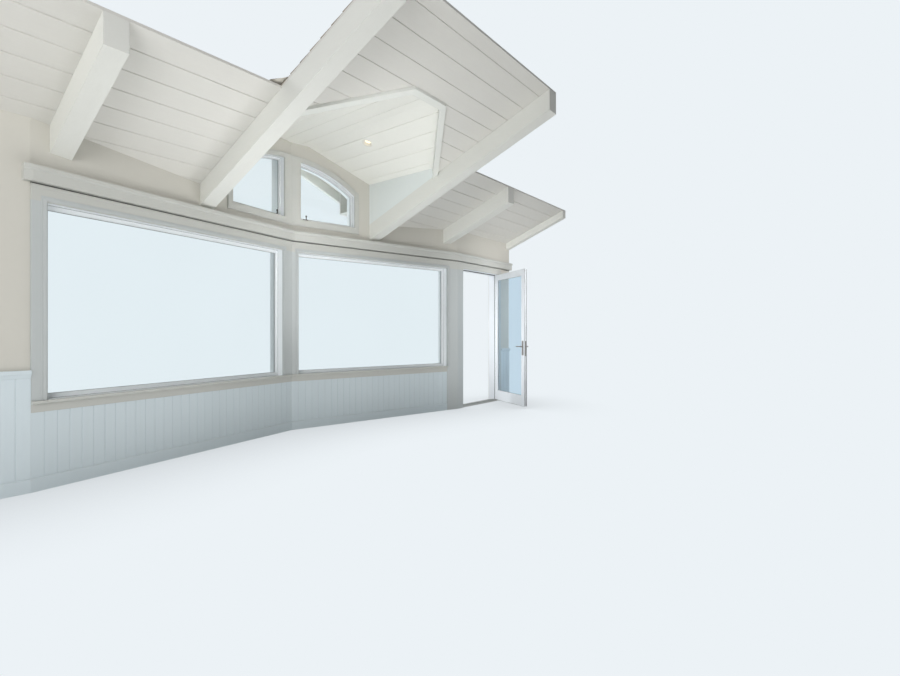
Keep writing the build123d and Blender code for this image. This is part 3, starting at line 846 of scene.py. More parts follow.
@dataclass(frozen=True)
class Glass:
    """Clear float glass with the slight green of its edge."""

    name: str
    colour: tuple[int, int, int]
    waviness: float = 0.02

    def make(self) -> bpy.types.Material:
        """Build the material."""
        material, w, shader = start_material(self.name)
        spot = w.spot()
        slow = w.noise(spot, 0.9, 1.0)
        tint = linear(*self.colour)
        film = w.spread(w.noise(spot, 5.0, 5.0, 0.7), 0.45, 0.8, 0.0, 0.02)
        normal = w.bump(self.waviness, 0.002, Height=slow)
        colour = w.blend(slow, tint, toned_down(tint, 1.03))
        w.feed(shader, Base_Color=colour, Roughness=film, Normal=normal)
        shader.inputs["Transmission Weight"].default_value = 1.0
        shader.inputs["IOR"].default_value = 1.45
        return material


@dataclass(frozen=True)
class Metal:
    """Plated or coated metal with fine brushing and handled, duller spots."""

    name: str
    colour: tuple[int, int, int]
    roughness: float = 0.3
    metallic: float = 1.0
    stroke: tuple[float, float, float] = (60.0, 60.0, 900.0)
    spots: float = 0.18

    def make(self) -> bpy.types.Material:
        """Build the material."""
        material, w, shader = start_material(self.name)
        lines = w.noise(w.stretched(self.stroke), 1.0, 3.0, 0.6)
        handled = w.spread(w.noise(w.spot(), 30.0, 5.0, 0.65), 0.4, 0.7, 0.0, 1.0)
        base = linear(*self.colour)
        rough = w.plus(self.roughness, w.times(handled, self.spots), True)
        rough = w.plus(rough, w.swing(lines, 0.12), True)
        edge = group(w, "edge_wear", Radius=0.001, Wear=0.4).outputs
        normal = w.bump(0.08, 0.0004, Height=lines, Normal=edge["Normal"])
        colour = w.blend(w.times(handled, 0.35), base, toned_down(base, 0.7))
        w.feed(shader, Base_Color=colour, Roughness=rough, Normal=normal)
        shader.inputs["Metallic"].default_value = self.metallic
        return material


@dataclass(frozen=True)
class Rubber:
    """Dark rubber of glazing gaskets and weather seals, also used for dark strips of painted shade
    in the cornice slot, round the sashes and in the keyholes.
    """

    name: str
    colour: tuple[int, int, int]

    def make(self) -> bpy.types.Material:
        """Build the material."""
        material, w, shader = start_material(self.name)
        specks = w.noise(w.spot(), 260.0, 3.0)
        dust = group(w, "settled_dust", Amount=0.4).outputs
        base = linear(*self.colour)
        paler = toned_down(base, 1.7, 0.01)
        colour = w.blend(w.spread(specks, 0.4, 0.7, 0.0, 0.5), base, paler)
        colour = w.blend(dust["Mask"], colour, SEAL_DUST)
        rough = w.spread(specks, 0.3, 0.7, 0.6, 0.8)
        normal = w.bump(0.2, 0.0005, Height=specks)
        w.feed(shader, Base_Color=colour, Roughness=rough, Normal=normal)
        return material


@dataclass(frozen=True)
class Glow:
    """Frosted lamp lens that gives a soft warm light."""

    name: str
    colour: tuple[int, int, int]
    paler: tuple[int, int, int]
    strength: float

    def make(self) -> bpy.types.Material:
        """Build the material."""
        material, w, shader = start_material(self.name)
        frost = w.noise(w.spot(), 300.0, 3.0)
        share = w.spread(frost, 0.3, 0.7, 0.0, 0.2)
        colour = w.blend(share, linear(*self.colour), linear(*self.paler))
        rough = w.spread(frost, 0.3, 0.7, 0.35, 0.5)
        w.feed(shader, Base_Color=colour, Emission_Color=colour, Roughness=rough)
        shader.inputs["Emission Strength"].default_value = self.strength
        return material


@dataclass(frozen=True)
class Shingle:
    """Weathered wood shingles: each has its own tone, with grain down the slope."""

    name: str
    light: tuple[int, int, int]
    dark: tuple[int, int, int]

    def make(self) -> bpy.types.Material:
        """Build the material."""
        material, w, shader = start_material(self.name)
        tone = w.add("Attribute", attribute_name="tone").outputs["Fac"]
        grain = group(w, "board_grain", Stretch=(9.0, 60.0, 60.0), Knots=0.2).outputs
        colour = w.blend(tone, linear(*self.light), linear(*self.dark))
        colour = w.shade(w.times(grain["Mask"], 0.6), colour, STREAK_SHADE)
        rough = w.spread(grain["Mask"], 0.0, 1.0, 0.75, 0.9)
        normal = w.bump(0.5, 0.002, Height=grain["Height"])
        w.feed(shader, Base_Color=colour, Roughness=rough, Normal=normal)
        return material


Finish = Paint | Glass | Metal | Rubber | Glow | Shingle

ALONG_X = (2.0, 34.0, 34.0)
ALONG_Y = (34.0, 2.0, 34.0)
LAP_FOOT, LAP_EXPOSURE = 0.012, 0.127

WALL_PAINT = Paint(
    "wall_paint", (203, 201, 193), roughness=0.62, stroke=(24, 24, 24), bump=0.10, wear=0.15
)
SIDING_PAINT = Paint(
    "siding_paint", (226, 227, 224), roughness=0.5, grain=ALONG_X, bump=0.2, wear=0.3,
    # laps: painted shade under each board's butt
    laps=(LAP_FOOT, LAP_EXPOSURE),
)
PANEL_PAINT = Paint(
    "panel_paint", (209, 220, 225), roughness=0.38, stroke=(90, 90, 5), bump=0.10
)
TRIM_PAINT = Paint(
    "trim_paint", (195, 196, 191), roughness=0.36, stroke=(12, 80, 80), bump=0.10
)
POST_PAINT = Paint(
    "post_paint", (190, 195, 195), roughness=0.36, stroke=(80, 80, 6), bump=0.10
)
SASH_PAINT = Paint(
    "sash_paint", (238, 242, 244), roughness=0.30, stroke=(60, 60, 60), bump=0.06, wear=0.2
)
BEAM_PAINT = Paint(
    "beam_paint", (224, 225, 220), roughness=0.48, stroke=(40, 6, 40), grain=ALONG_Y,
    grain_tint=0.2, bump=0.45,
)
SLOPE_PAINT = Paint(
    "slope_paint", (216, 215, 210), roughness=0.46, grain=ALONG_X, grain_tint=0.22,
    bump=0.55, wear=0.5,
)
# painted light: the dormer's boards carry the slope's white paint, made lighter here for the window
# light that falls in the dormer
LIT_WELL_PAINT = Paint(
    "lit_well_paint", (238, 238, 232), roughness=0.42, grain=ALONG_Y, grain_tint=0.18,
    bump=0.4, wear=0.4,
)
CURB_PAINT = Paint(
    "curb_paint", (224, 226, 221), roughness=0.40, stroke=(30, 30, 30), bump=0.12
)
# painted light: the cheeks' paint made lighter and bluer for the window light that falls on them
LIT_CHEEK_PAINT = Paint(
    "cheek_paint", (228, 234, 233), roughness=0.55, stroke=(26, 26, 26), bump=0.08, wear=0.1
)
DECK_PAINT = Paint(
    "deck_paint", (240, 236, 226), roughness=0.6, grain=ALONG_Y, bump=0.3, grain_tint=0.3
)
RAKE_PAINT = Paint("rake_paint", (232, 234, 232), roughness=0.42, grain=ALONG_X, bump=0.2)
DOOR_PAINT = Paint(
    "door_paint", (232, 237, 242), roughness=0.30, stroke=(80, 80, 5), bump=0.08, wear=0.3
)
LAMP_ENAMEL = Paint(
    "lamp_enamel", (240, 238, 230), roughness=0.25, stroke=(50, 50, 50), bump=0.03,
    wear=0.1, radius=0.001,
)
SLOT_SHADOW = Rubber("slot_shadow", (52, 50, 46))
# real glazing gaskets, and also the painted shade round the sashes
GASKET_AND_SEAM_SHADE = Rubber("gasket_and_seam_shade", (142, 145, 145))
# real weather seals, and also the painted shade in the keyholes
DARK_SEAL_AND_KEYHOLE_SHADE = Rubber("weather_seal_and_keyhole_shade", (58, 54, 52))
CLEAR_GLASS = Glass("clear_glass", (243, 249, 250))
DOOR_GLASS = Glass("door_glass", (205, 224, 236))
NICKEL = Metal("satin_nickel", (158, 156, 152), roughness=0.28)
HINGE_METAL = Metal("hinge_metal", (196, 196, 192), roughness=0.35)
DARK_METAL = Metal("dark_bronze", (70, 64, 58), roughness=0.42, metallic=0.85)
SILL_METAL = Metal("sill_metal", (176, 176, 172), roughness=0.42, stroke=(900, 60, 60))
LAMP_GLOW = Glow("lamp_glow", (255, 236, 206), (255, 240, 214), 0.9)
ROOF_SHINGLE = Shingle("roof_shingle", (150, 140, 124), (96, 90, 82))

NODES_OF: dict[Finish, tuple[str, ...]] = {
    WALL_PAINT: (
        "left_wall", "left_header", "right_header", "door_header", "end_wall", "corner_pier",
        "left_jamb_post", "centre_post", "left_sill_wall", "right_sill_wall",
        "dormer_left_front", "dormer_right_front",
    ),
    PANEL_PAINT: (
        "left_wainscot", "bay_wainscot", "end_panelling", "left_chair_rail", "left_baseboard",
        "bay_baseboard",
    ),
    TRIM_PAINT: ("head_casing", "cornice", "window_stool", "dormer_casing"),
    POST_PAINT: ("left_jamb_casing", "centre_casing", "corner_pilaster", "door_side_casing"),
    SASH_PAINT: (
        "left_window_frame", "right_window_frame", "dormer_left_window", "dormer_right_window",
    ),
    BEAM_PAINT: (
        "left_beam", "right_beam", "left_side_beams", "right_side_beams", "dormer_rafters",
    ),
    LIT_CHEEK_PAINT: ("dormer_left_cheek", "dormer_right_cheek"),
    DECK_PAINT: ("dormer_left_roof", "dormer_right_roof"),
    DOOR_PAINT: ("door_leaf", "door_near_jamb", "door_far_jamb", "door_head"),
    CLEAR_GLASS: ("left_window_pane", "right_window_pane", "dormer_panes"),
    HINGE_METAL: ("jamb_hinges", "leaf_hinges"),
    CURB_PAINT: ("well_curb",),
    LIT_WELL_PAINT: ("dormer_ceiling",),
    SLOPE_PAINT: ("slope_ceiling", "left_side_ceiling", "right_side_ceiling"),
    RAKE_PAINT: ("dormer_rake_board", "dormer_eave_boxes"),
    DOOR_GLASS: ("door_pane",),
    NICKEL: ("door_levers",),
    DARK_METAL: ("window_cranks",),
    LAMP_ENAMEL: ("recessed_lamp",),
    SILL_METAL: ("threshold",),
}

MADE: dict[str, bpy.types.Material] = {}


def paint(obj: bpy.types.Object, finish: Finish) -> None:
    """Give an object one finish, made when it is first used."""
    if finish.name not in MADE:
        MADE[finish.name] = finish.make()
    if obj.material_slots:
        for slot in obj.material_slots:
            slot.material = MADE[finish.name]
    else:
        obj.data.materials.append(MADE[finish.name])


def deliver(
    obj: bpy.types.Object,
    finish: Finish,
    body: Body = Body.WALL,
    smooth: bool = False,
    replaced: Sequence[str] = (),
) -> bpy.types.Object:
    """Finish a new piece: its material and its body.

    Args:
        obj: The piece, in place.
        finish: Its finish.
        body: The body that it moves with.
        smooth: Whether its round faces are shaded smooth.
        replaced: CAD nodes that it stands for.

    Returns:
        The same piece.
    """
    if smooth:
        pick(obj)
        bpy.ops.object.shade_smooth_by_angle(angle=math.radians(35))
    paint(obj, finish)
    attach(obj, body.value)
    nodes = list(replaced)
    if nodes:
        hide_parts(*nodes)
    LOG.info("%s: %d faces on %s", obj.name, len(obj.data.polygons), body.value)
    return obj


# Sub-assemblies


@dataclass
class BoardedCeiling:
    """Painted boards with V joints, on the main slope and inside the dormer."""

    joint: tuple[float, float] = (0.009, 0.007)
    side_joint: tuple[float, float] = (0.012, 0.010)
    slope_pitch: float = 0.1945
    slope_first: float = -2.348
    well_joints: tuple[float, ...] = (0.3665, 0.5770, 0.7875, 0.9980)
    strip_joint: float = 0.110
    groove_top: float = 0.08
    groove_foot: float = 1.9
    overrun: float = 0.2

    def groove(self, name: str, length: float, joint: tuple[float, float]) -> bpy.types.Object:
        """Model one V cutter along X, its wide side down, centred on the origin.

        Args:
            name: Name of the piece.
            length: Its length.
            joint: Width and depth of the joint that it cuts.

        Returns:
            The cutter.
        """
        wide, deep = joint
        obj = block(name, (-length / 2, -wide / 2, -deep), (length / 2, wide / 2, deep))
        widen(obj, turned_to(UP), self.groove_top)
        widen(obj, turned_to(-UP), self.groove_foot)
        return obj

    def build_slope(self, node: str) -> bpy.types.Object:
        """Cut the joints of one part of the main slope, which run along the wall."""
        boards = lifted(node, node.replace("ceiling", "boards"))
        low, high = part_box(node)
        first = math.ceil((low.y - self.slope_first) / self.slope_pitch)
        last = math.floor((high.y - self.slope_first) / self.slope_pitch)
        y0 = self.slope_first + first * self.slope_pitch
        joint = self.side_joint if "side" in node else self.joint
        cutter = self.groove("slope_joints", high.x - low.x + self.overrun, joint)
        tilt = Matrix.Rotation(math.atan(-CEILING_FALL), 4, "X")
        at = Vector(((low.x + high.x) / 2, y0, CEILING_AT_WALL - CEILING_FALL * (y0 - WALL_Y)))
        place(cutter, Matrix.Translation(at) @ tilt)
        repeat(cutter, last - first + 1, (0, self.slope_pitch, -CEILING_FALL * self.slope_pitch))
        return carve(boards, cutter)

    def build_well(self) -> bpy.types.Object:
        """Cut the joints of the dormer's ceiling, which run out towards its windows."""
        boards = lifted("dormer_ceiling", "dormer_boards")
        low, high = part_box("dormer_ceiling")
        length = 2 * (high.y - low.y)
        cutters = []
        quarter = Matrix.Rotation(math.pi / 2, 4, "Z")
        for side in (-1, 1):
            for index, x in enumerate((self.strip_joint, *self.well_joints)):
                fall = max(0.0, x - STRIP_HALF) * DORMER_FALL
                slope = side * math.atan(DORMER_FALL) if x > STRIP_HALF else 0.0
                cutter = self.groove(f"well_joint_{side}_{index}", length, self.joint)
                at = Vector((side * x, (low.y + high.y) / 2, STRIP_Z - fall))
                place(cutter, Matrix.Translation(at) @ Matrix.Rotation(slope, 4, "Y") @ quarter)
                cutters.append(cutter)
        return carve(boards, join("well_joints", cutters))

    def dress(self) -> None:
        """Build both ceilings and paint them."""
        for node in ("slope_ceiling", "left_side_ceiling", "right_side_ceiling"):
            deliver(self.build_slope(node), SLOPE_PAINT, replaced=(node,))
        deliver(self.build_well(), LIT_WELL_PAINT, replaced=("dormer_ceiling",))


@dataclass
class Glazing:
    """Beads and gaskets round every pane."""

    bead_w: float = 0.005
    bead_h: float = 0.011
    gasket_w: float = 0.002
    gasket_h: float = 0.004

    def ring(self, node: str, side: str, facing: Vector, body: Body, slot: Slot) -> None:
        """Set a bead and a gasket on one side of a pane."""
        face = turned_to(facing)
        bead = edge_strips(node, f"{node}_bead_{side}", face, 0.0, self.bead_w, self.bead_h)
        soften(bead, 0.0016)
        deliver(bead, SASH_PAINT if body is Body.WALL else DOOR_PAINT, body, smooth=True)
        gasket = edge_strips(
            node, f"{node}_gasket_{side}", face, self.bead_w, self.gasket_w, self.gasket_h
        )
        soften(gasket, 0.0006, 1)
        deliver(gasket, GASKET_AND_SEAM_SHADE, body)

    def dress(self) -> None:
        """Glaze the picture windows, the dormer windows and the door."""
        for node in ("left_window_pane", "right_window_pane", "dormer_panes"):
            for side, facing in (("room", ROOM), ("sea", SEA)):
                self.ring(node, side, facing, Body.WALL, Slot.SASH)
        turn = Matrix.Rotation(LEAF_OPEN, 4, "Z")
        for side, facing in (("room", ROOM), ("sea", SEA)):
            self.ring("door_pane", side, turn @ facing, Body.DOOR, Slot.DOOR)


@dataclass
class WindowCasings:
    """Stepped bands on the casings round the picture windows, and a dark strip of painted shade in
    the slot over them.
    """

    band_w: float = 0.026
    band_t: float = 0.007
    step_w: float = 0.012
    step_t: float = 0.003
    edge: float = 0.006
    under_sill: float = 0.2
    slot_h: float = 0.009
    slot_t: float = 0.003

    def bands(self, side: str, run: Run, s0: float, s1: float) -> None:
        """Set the raised band and its step round one window, down to the stool."""
        rings = []
        for name, gap, width, height in (
            ("band", self.edge, self.band_w, self.band_t),
            ("step", self.edge + self.band_w, self.step_w, self.step_t),
        ):
            box = (s0 - gap, SILL_Z - self.under_sill, s1 + gap, HEAD_Z + gap)
            ring = wall_ring(f"{side}_{name}", box, width, -CASING_T, -height)
            bisect(ring, (0, 0, SILL_Z), (0, 0, -1))
            rings.append(soften(ring, height * 0.45, 2))
        piece = join(f"{side}_casing_band", rings)
        deliver(place(piece, run.matrix()), POST_PAINT, smooth=True)

    def painted_slot_shadow(self) -> None:
        """Lay a dark strip of painted shade at the back of the slot between the head casing and the
        cornice.
        """
        strips = []
        for index, run in enumerate((BAY_LEFT, BAY_RIGHT, RIGHT_RUN)):
            low = (0.0, -self.slot_t, CORNICE_Z - self.slot_h)
            strip = block(f"slot_{index}", low, (run.length, 0.0, CORNICE_Z))
            strips.append(place(soften(strip, 0.0008, 1), run.matrix()))
        # dark strip standing in for the shade at the back of the slot
        deliver(join("cornice_slot_shadow", strips), SLOT_SHADOW)

    def dress(self) -> None:
        """Build the bands and the painted shade in the slot."""
        self.bands("left", BAY_LEFT, LEFT_JAMB, BAY_RUN - POST_LEFT)
        self.bands("right", BAY_RIGHT, POST_RIGHT, BAY_RUN - RIGHT_JAMB)
        self.painted_slot_shadow()


@dataclass
class TrimLines:
    """Raised strips on the head casing, beads on the dormer's casing, and dark strips of painted
    shade round the sashes.
    """

    strip_low: float = 2.296
    strip_high: float = 2.322
    strip_t: float = 0.005
    seam_w: float = 0.003
    seam_t: float = 0.0012
    bead_gap: float = 0.004
    bead_w: float = 0.011
    bead_t: float = 0.004
    overrun: float = 0.1
    sash_n: tuple[float, float] = (0.02, 0.12)

    def head_strip(self) -> None:
        """Run the raised strip along the head casing, mitred where the wall bends."""
        strips = []
        for index, run in enumerate((BAY_LEFT, BAY_RIGHT, RIGHT_RUN)):
            end = DOOR_FAR if run is RIGHT_RUN else run.length + self.overrun
            low = (-self.overrun, -CASING_T - self.strip_t, self.strip_low)
            strip = block(f"head_strip_{index}", low, (end, -CASING_T, self.strip_high))
            strips.append(place(mitred(soften(strip, 0.0018), run), run.matrix()))
        deliver(join("head_strips", strips), TRIM_PAINT, smooth=True)

    def dormer_bands(self) -> None:
        """Raise a bead along the openings and the outer edge of the dormer's casing."""
        bead = edge_strips(
            "dormer_casing", "dormer_casing_bead", turned_to(ROOM),
            self.bead_gap, self.bead_w, self.bead_t,
        )
        deliver(soften(bead, 0.0014), TRIM_PAINT, smooth=True)

    def shadow_seams(self) -> None:
        """Draw dark strips of painted shade in the gaps between the sashes and their liners."""
        for side, run, s0, s1 in (
            ("left", BAY_LEFT, LEFT_JAMB, BAY_RUN - POST_LEFT),
            ("right", BAY_RIGHT, POST_RIGHT, BAY_RUN - RIGHT_JAMB),
        ):
            width = self.seam_w
            box = (s0 + width, SILL_Z + width, s1 - width, HEAD_Z - width)
            # dark strip standing in for the shadow in the gap between sash and liner
            shadow_seam = wall_ring(f"{side}_sash_shadow_seam", box, width, SASH_SETBACK, -self.seam_t)
            deliver(place(shadow_seam, run.matrix()), GASKET_AND_SEAM_SHADE)
        for side, run in (("left", BAY_LEFT), ("right", BAY_RIGHT)):
            inwards = run.matrix().to_3x3() @ ROOM
            back = run.matrix().inverted()
            n0, n1 = self.sash_n
            # the same painted shade round the dormer sashes
            shadow_seam = edge_strips(
                f"dormer_{side}_window", f"dormer_{side}_seam",
                lambda centre, normal: (
                    normal.dot(inwards) > 0.99 and n0 < (back @ centre).y < n1
                ),
                0.0, self.seam_w, self.seam_t,
            )
            deliver(shadow_seam, GASKET_AND_SEAM_SHADE)

    def dress(self) -> None:
        """Build the strips, the beads and the painted shade round the sashes."""
        self.head_strip()
        self.dormer_bands()
        self.shadow_seams()


@dataclass
class DoorFittings:
    """Seals, latch, cylinders and hinge screws of the garden door."""

    plate_t: float = 0.0015
    latch_w: float = 0.024
    latch_z: tuple[float, float] = (-0.1475, 0.0875)
    latch_screws: tuple[float, float] = (-0.1395, 0.0795)
    bolt: tuple[float, float, float] = (0.0045, 0.016, 0.022)
    strike_w: float = 0.032
    strike_z: tuple[float, float] = (-0.090, 0.050)
    strike_screws: tuple[float, float] = (-0.080, 0.040)
    strike_hole: tuple[float, float, float] = (0.020, 0.018, 0.028)
    handle_plate_t: float = 0.007
    handle_screws: tuple[float, float] = (-0.127, 0.081)
    cylinder_z: float = -0.086
    cylinder_r: float = 0.012
    cylinder_proud: float = 0.0040
    keyhole_proud: float = 0.0046
    keyhole_w: float = 0.0022
    keyhole_h: float = 0.012
    screw_r: float = 0.0034
    seal_w: float = 0.007
    seal_t: float = 0.0025
    seal_inset: float = 0.006
    seal_end: float = 0.010
    sweep_h: float = 0.004
    top_seal_n: tuple[float, float] = (0.020, 0.026)
    stop_n: float = LEAF_T + 0.007
    stop_seal_w: float = 0.011
    stop_seal_t: float = 0.0015
    hinge_from_end: float = 0.205
    hinge_plate_t: float = 0.003
    hinge_holes: tuple[tuple[float, float], ...] = ((0.012, -0.034), (0.025, 0.0), (0.012, 0.034))
    ribs: int = 6
    rib_pitch: float = 0.012
    rib_n: tuple[float, float] = (0.014, 0.018)
    rib_h: float = 0.0015
    rib_end: float = 0.004

    leaf_low: float = THRESHOLD_H + LEAF_GAP
    leaf_high: float = DOOR_H - LEAF_GAP
    latch_s: float = DOOR_NEAR + LEAF_GAP
    hinge_s: float = DOOR_FAR - LEAF_GAP

    def on_leaf(
        self, pieces: Sequence[bpy.types.Object], name: str, finish: Finish
    ) -> None:
        """Join pieces built on the closed leaf and turn them to where it stands."""
        piece = place(join(name, pieces), leaf_matrix())
        deliver(piece, finish, Body.DOOR, smooth=True)

    def edge_block(
        self, name: str, s: Sequence[float], width: float, z: Sequence[float]
    ) -> bpy.types.Object:
        """Add a block in the middle of the leaf's thickness, at heights from the lever's."""
        n0, n1 = (LEAF_T - width) / 2, (LEAF_T + width) / 2
        return block(name, (s[0], n0, LEVER_Z + z[0]), (s[1], n1, LEVER_Z + z[1]))

    def edge_screws(
        self, name: str, s: float, heights: Sequence[float], out: int
    ) -> list[bpy.types.Object]:
        """Add screws in the middle of the leaf's thickness, at heights from the lever's."""
        return [
            screw(f"{name}_{index}", (s, LEAF_T / 2, LEVER_Z + z), (out, 0, 0), self.screw_r)
            for index, z in enumerate(heights)
        ]

    def latch(self) -> None:
        """Latch plate and bolt on the leaf's edge."""
        s, face = self.latch_s, self.latch_s - self.plate_t
        plate = self.edge_block("latch", (face, s), self.latch_w, self.latch_z)
        deep, wide, tall = self.bolt
        bolt = self.edge_block("bolt", (s - deep, s), wide, (-tall / 2, tall / 2))
        pieces = [soften(plate, 0.0006), soften(bolt, 0.0018)]
        pieces += self.edge_screws("latch_screw", face, self.latch_screws, -1)
        self.on_leaf(pieces, "latch_plate", NICKEL)

    def strike(self) -> None:
        """Strike plate on the jamb, with the hole for the bolt."""
        jamb, face = DOOR_NEAR, DOOR_NEAR + self.plate_t
        strike = self.edge_block("strike", (jamb, face), self.strike_w, self.strike_z)
        deep, wide, tall = self.strike_hole
        reach = (jamb - deep / 2, jamb + deep / 2)
        hole = self.edge_block("hole", reach, wide, (-tall / 2, tall / 2))
        pieces = [soften(carve(strike, hole), 0.0005)]
        pieces += self.edge_screws("strike_screw", face, self.strike_screws, 1)
        piece = place(join("strike_plate", pieces), RIGHT_RUN.matrix())
        deliver(piece, NICKEL, smooth=True)

    def cylinders(self) -> None:
        """Key cylinder, a dark slit of painted shade for the keyhole, and screws on both handle
        plates.
        """
        s, z = self.latch_s + LEVER_INSET, LEVER_Z + self.cylinder_z
        wide, tall = self.keyhole_w / 2, self.keyhole_h / 2
        metal, dark = [], []
        for index, (face, out) in enumerate(((0.0, -1), (LEAF_T, 1))):
            front = face + out * self.handle_plate_t
            low, high = sorted((face, front + out * self.cylinder_proud))
            at = (s, (low + high) / 2, z)
            barrel = rod(f"cylinder_{index}", at, "Y", self.cylinder_r, high - low)
            metal.append(soften(barrel, 0.0012))
            # dark slit standing in for the shade inside the keyway
            low, high = sorted((face, front + out * self.keyhole_proud))
            slit = (s - wide, low, z - tall), (s + wide, high, z + tall)
            dark.append(block(f"keyhole_{index}", *slit))
            for step, rise in enumerate(self.handle_screws):
                at = (s, front, LEVER_Z + rise)
                metal.append(screw(f"handle_screw_{index}_{step}", at, (0, out, 0), self.screw_r))
        self.on_leaf(metal, "key_cylinders", NICKEL)
        self.on_leaf(dark, "keyhole_shade", DARK_SEAL_AND_KEYHOLE_SHADE)

    def leaf_seals(self) -> None:
        """Seals in the leaf's edges, and its sweep."""
        end, low, high = self.seal_end, self.leaf_low, self.leaf_high
        s0, s1 = self.latch_s + end, self.hinge_s - end
        strips = []
        for index, n in enumerate((self.seal_inset, LEAF_T - self.seal_inset - self.seal_w)):
            back = n + self.seal_w
            edge = (self.latch_s - self.seal_t, n, low + end), (self.latch_s, back, high - end)
            strips.append(block(f"edge_{index}", *edge))
            strips.append(block(f"sweep_{index}", (s0, n, low - self.sweep_h), (s1, back, low)))
        n0, n1 = self.top_seal_n
        strips.append(block("top", (s0, n0, high), (s1, n1, high + self.seal_t)))
        self.on_leaf(strips, "leaf_seals", DARK_SEAL_AND_KEYHOLE_SHADE)

    def stop_seals(self) -> None:
        """Seals on the jambs' and the head's stops."""
        n1, width = self.stop_n, self.stop_seal_w
        n0, under_head = n1 - self.stop_seal_t, DOOR_H - width - 0.001
        fixed = [
            block("near", (DOOR_NEAR, n0, THRESHOLD_H), (DOOR_NEAR + width, n1, under_head)),
            block("far", (DOOR_FAR - width, n0, THRESHOLD_H), (DOOR_FAR, n1, under_head)),
            block("head", (DOOR_NEAR, n0, DOOR_H - width), (DOOR_FAR, n1, DOOR_H)),
        ]
        deliver(place(join("stop_seals", fixed), RIGHT_RUN.matrix()), DARK_SEAL_AND_KEYHOLE_SHADE)

    def hinge_screws(self) -> None:
        """Screws in the hinge plates, on the jamb and on the leaf."""
        lowest, highest = THRESHOLD_H + self.hinge_from_end, DOOR_H - self.hinge_from_end
        jamb, edge = DOOR_FAR - self.hinge_plate_t, self.hinge_s + self.hinge_plate_t
        fixed, moving = [], []
        for index, middle in enumerate((lowest, (lowest + highest) / 2, highest)):
            for step, (n, rise) in enumerate(self.hinge_holes):
                for name, pieces, s, out in (
                    ("jamb_screw", fixed, jamb, -1), ("leaf_screw", moving, edge, 1)
                ):
                    at = (s, n, middle + rise)
                    pieces.append(screw(f"{name}_{index}_{step}", at, (out, 0, 0), self.screw_r))
        screws = place(join("jamb_hinge_screws", fixed), RIGHT_RUN.matrix())
        deliver(screws, HINGE_METAL, smooth=True)
        self.on_leaf(moving, "leaf_hinge_screws", HINGE_METAL)

    def threshold(self) -> None:
        """Ribs along the threshold, outside the leaf."""
        low = (DOOR_NEAR + self.rib_end, self.rib_n[0], THRESHOLD_H)
        high = (DOOR_FAR - self.rib_end, self.rib_n[1], THRESHOLD_H + self.rib_h)
        rib = repeat(soften(block("rib", low, high), 0.0006, 1), self.ribs, (0, self.rib_pitch, 0))
        deliver(place(rib, RIGHT_RUN.matrix()), SILL_METAL)

    def dress(self) -> None:
        """Build every fitting of the door."""
        self.latch()
        self.strike()
        self.cylinders()
        self.leaf_seals()
        self.stop_seals()
        self.hinge_screws()
        self.threshold()


@dataclass
class LampInsert:
    """Stepped baffle and frosted lens inside the recessed lamp."""

    can_r: float = 0.052
    lens_r: float = 0.037
    depth: float = 0.030
    steps: int = 3
    step_w: float = 0.003
    rim: float = 0.002
    ring_h: float = 0.009
    hole_h: float = 0.050
    lens_t: float = 0.004
    lens_gap: float = 0.001
    sides: int = 48

    def dress(self) -> None:
        """Build the baffle and the lens in the can's own axes."""
        tilt = Matrix.Rotation(math.atan(DORMER_FALL), 4, "Y")
        z = STRIP_Z - DORMER_FALL * (LAMP_X - STRIP_HALF)
        axes = Matrix.Translation((LAMP_X, LAMP_Y, z)) @ tilt
        rings = []
        for step in range(self.steps):
            outer = self.can_r - step * self.step_w
            inner = self.lens_r + (self.steps - 1 - step) * self.step_w
            at = (0, 0, self.rim + step * self.depth / self.steps + self.ring_h / 2)
            ring = rod(f"baffle_{step}", at, "Z", outer, self.ring_h, self.sides)
            hole = rod("hole", at, "Z", inner, self.hole_h, self.sides)
            rings.append(soften(carve(ring, hole), 0.0012, 1))
        baffle = place(join("lamp_baffle", rings), axes)
        deliver(baffle, LAMP_ENAMEL, smooth=True)
        at = (0, 0, self.depth + self.lens_t)
        lens = rod("lamp_lens", at, "Z", self.can_r - self.lens_gap, self.lens_t, self.sides)
        deliver(place(soften(lens, 0.001), axes), LAMP_GLOW, smooth=True)


@dataclass
class CrankDetails:
    """Knobs, hubs and base screws of the dormer windows' cranks."""

    at: float = 0.208
    n: float = 0.022
    hub_n: float = 0.028
    screw_n: float = 0.032
    screw_s: float = 0.025
    top_z: float = 2.670
    base_z: float = 2.624
    knob_r: float = 0.009
    knob_h: float = 0.022
    hub_r: float = 0.0095
    hub_h: float = 0.016
    screw_r: float = 0.003
    sides: int = 20

    def dress(self) -> None:
        """Build the knobs, hubs and screws on both facets."""
        for side, run, s in (("left", BAY_LEFT, BAY_RUN - self.at), ("right", BAY_RIGHT, self.at)):
            top, base = (s, self.n, self.top_z), (s, self.hub_n, self.base_z)
            knob = rod("knob", top, "Z", self.knob_r, self.knob_h, self.sides)
            hub = rod("hub", base, "Y", self.hub_r, self.hub_h, self.sides)
            pieces = [soften(knob, 0.004, 3), soften(hub, 0.003, 2)]
            for step in (-self.screw_s, self.screw_s):
                at = (s + step, self.screw_n, self.base_z)
                pieces.append(screw(f"base_screw_{step > 0}", at, (0, -1, 0), self.screw_r))
            piece = place(join(f"{side}_crank_details", pieces), run.matrix())
            deliver(piece, DARK_METAL, smooth=True)


def toned(obj: bpy.types.Object, value: float) -> bpy.types.Object:
    """Give every face of a piece the same tone, for shingles and boards that differ."""
    tone = obj.data.attributes.new("tone", "FLOAT", "FACE")
    for item in tone.data:
        item.value = value
    return obj


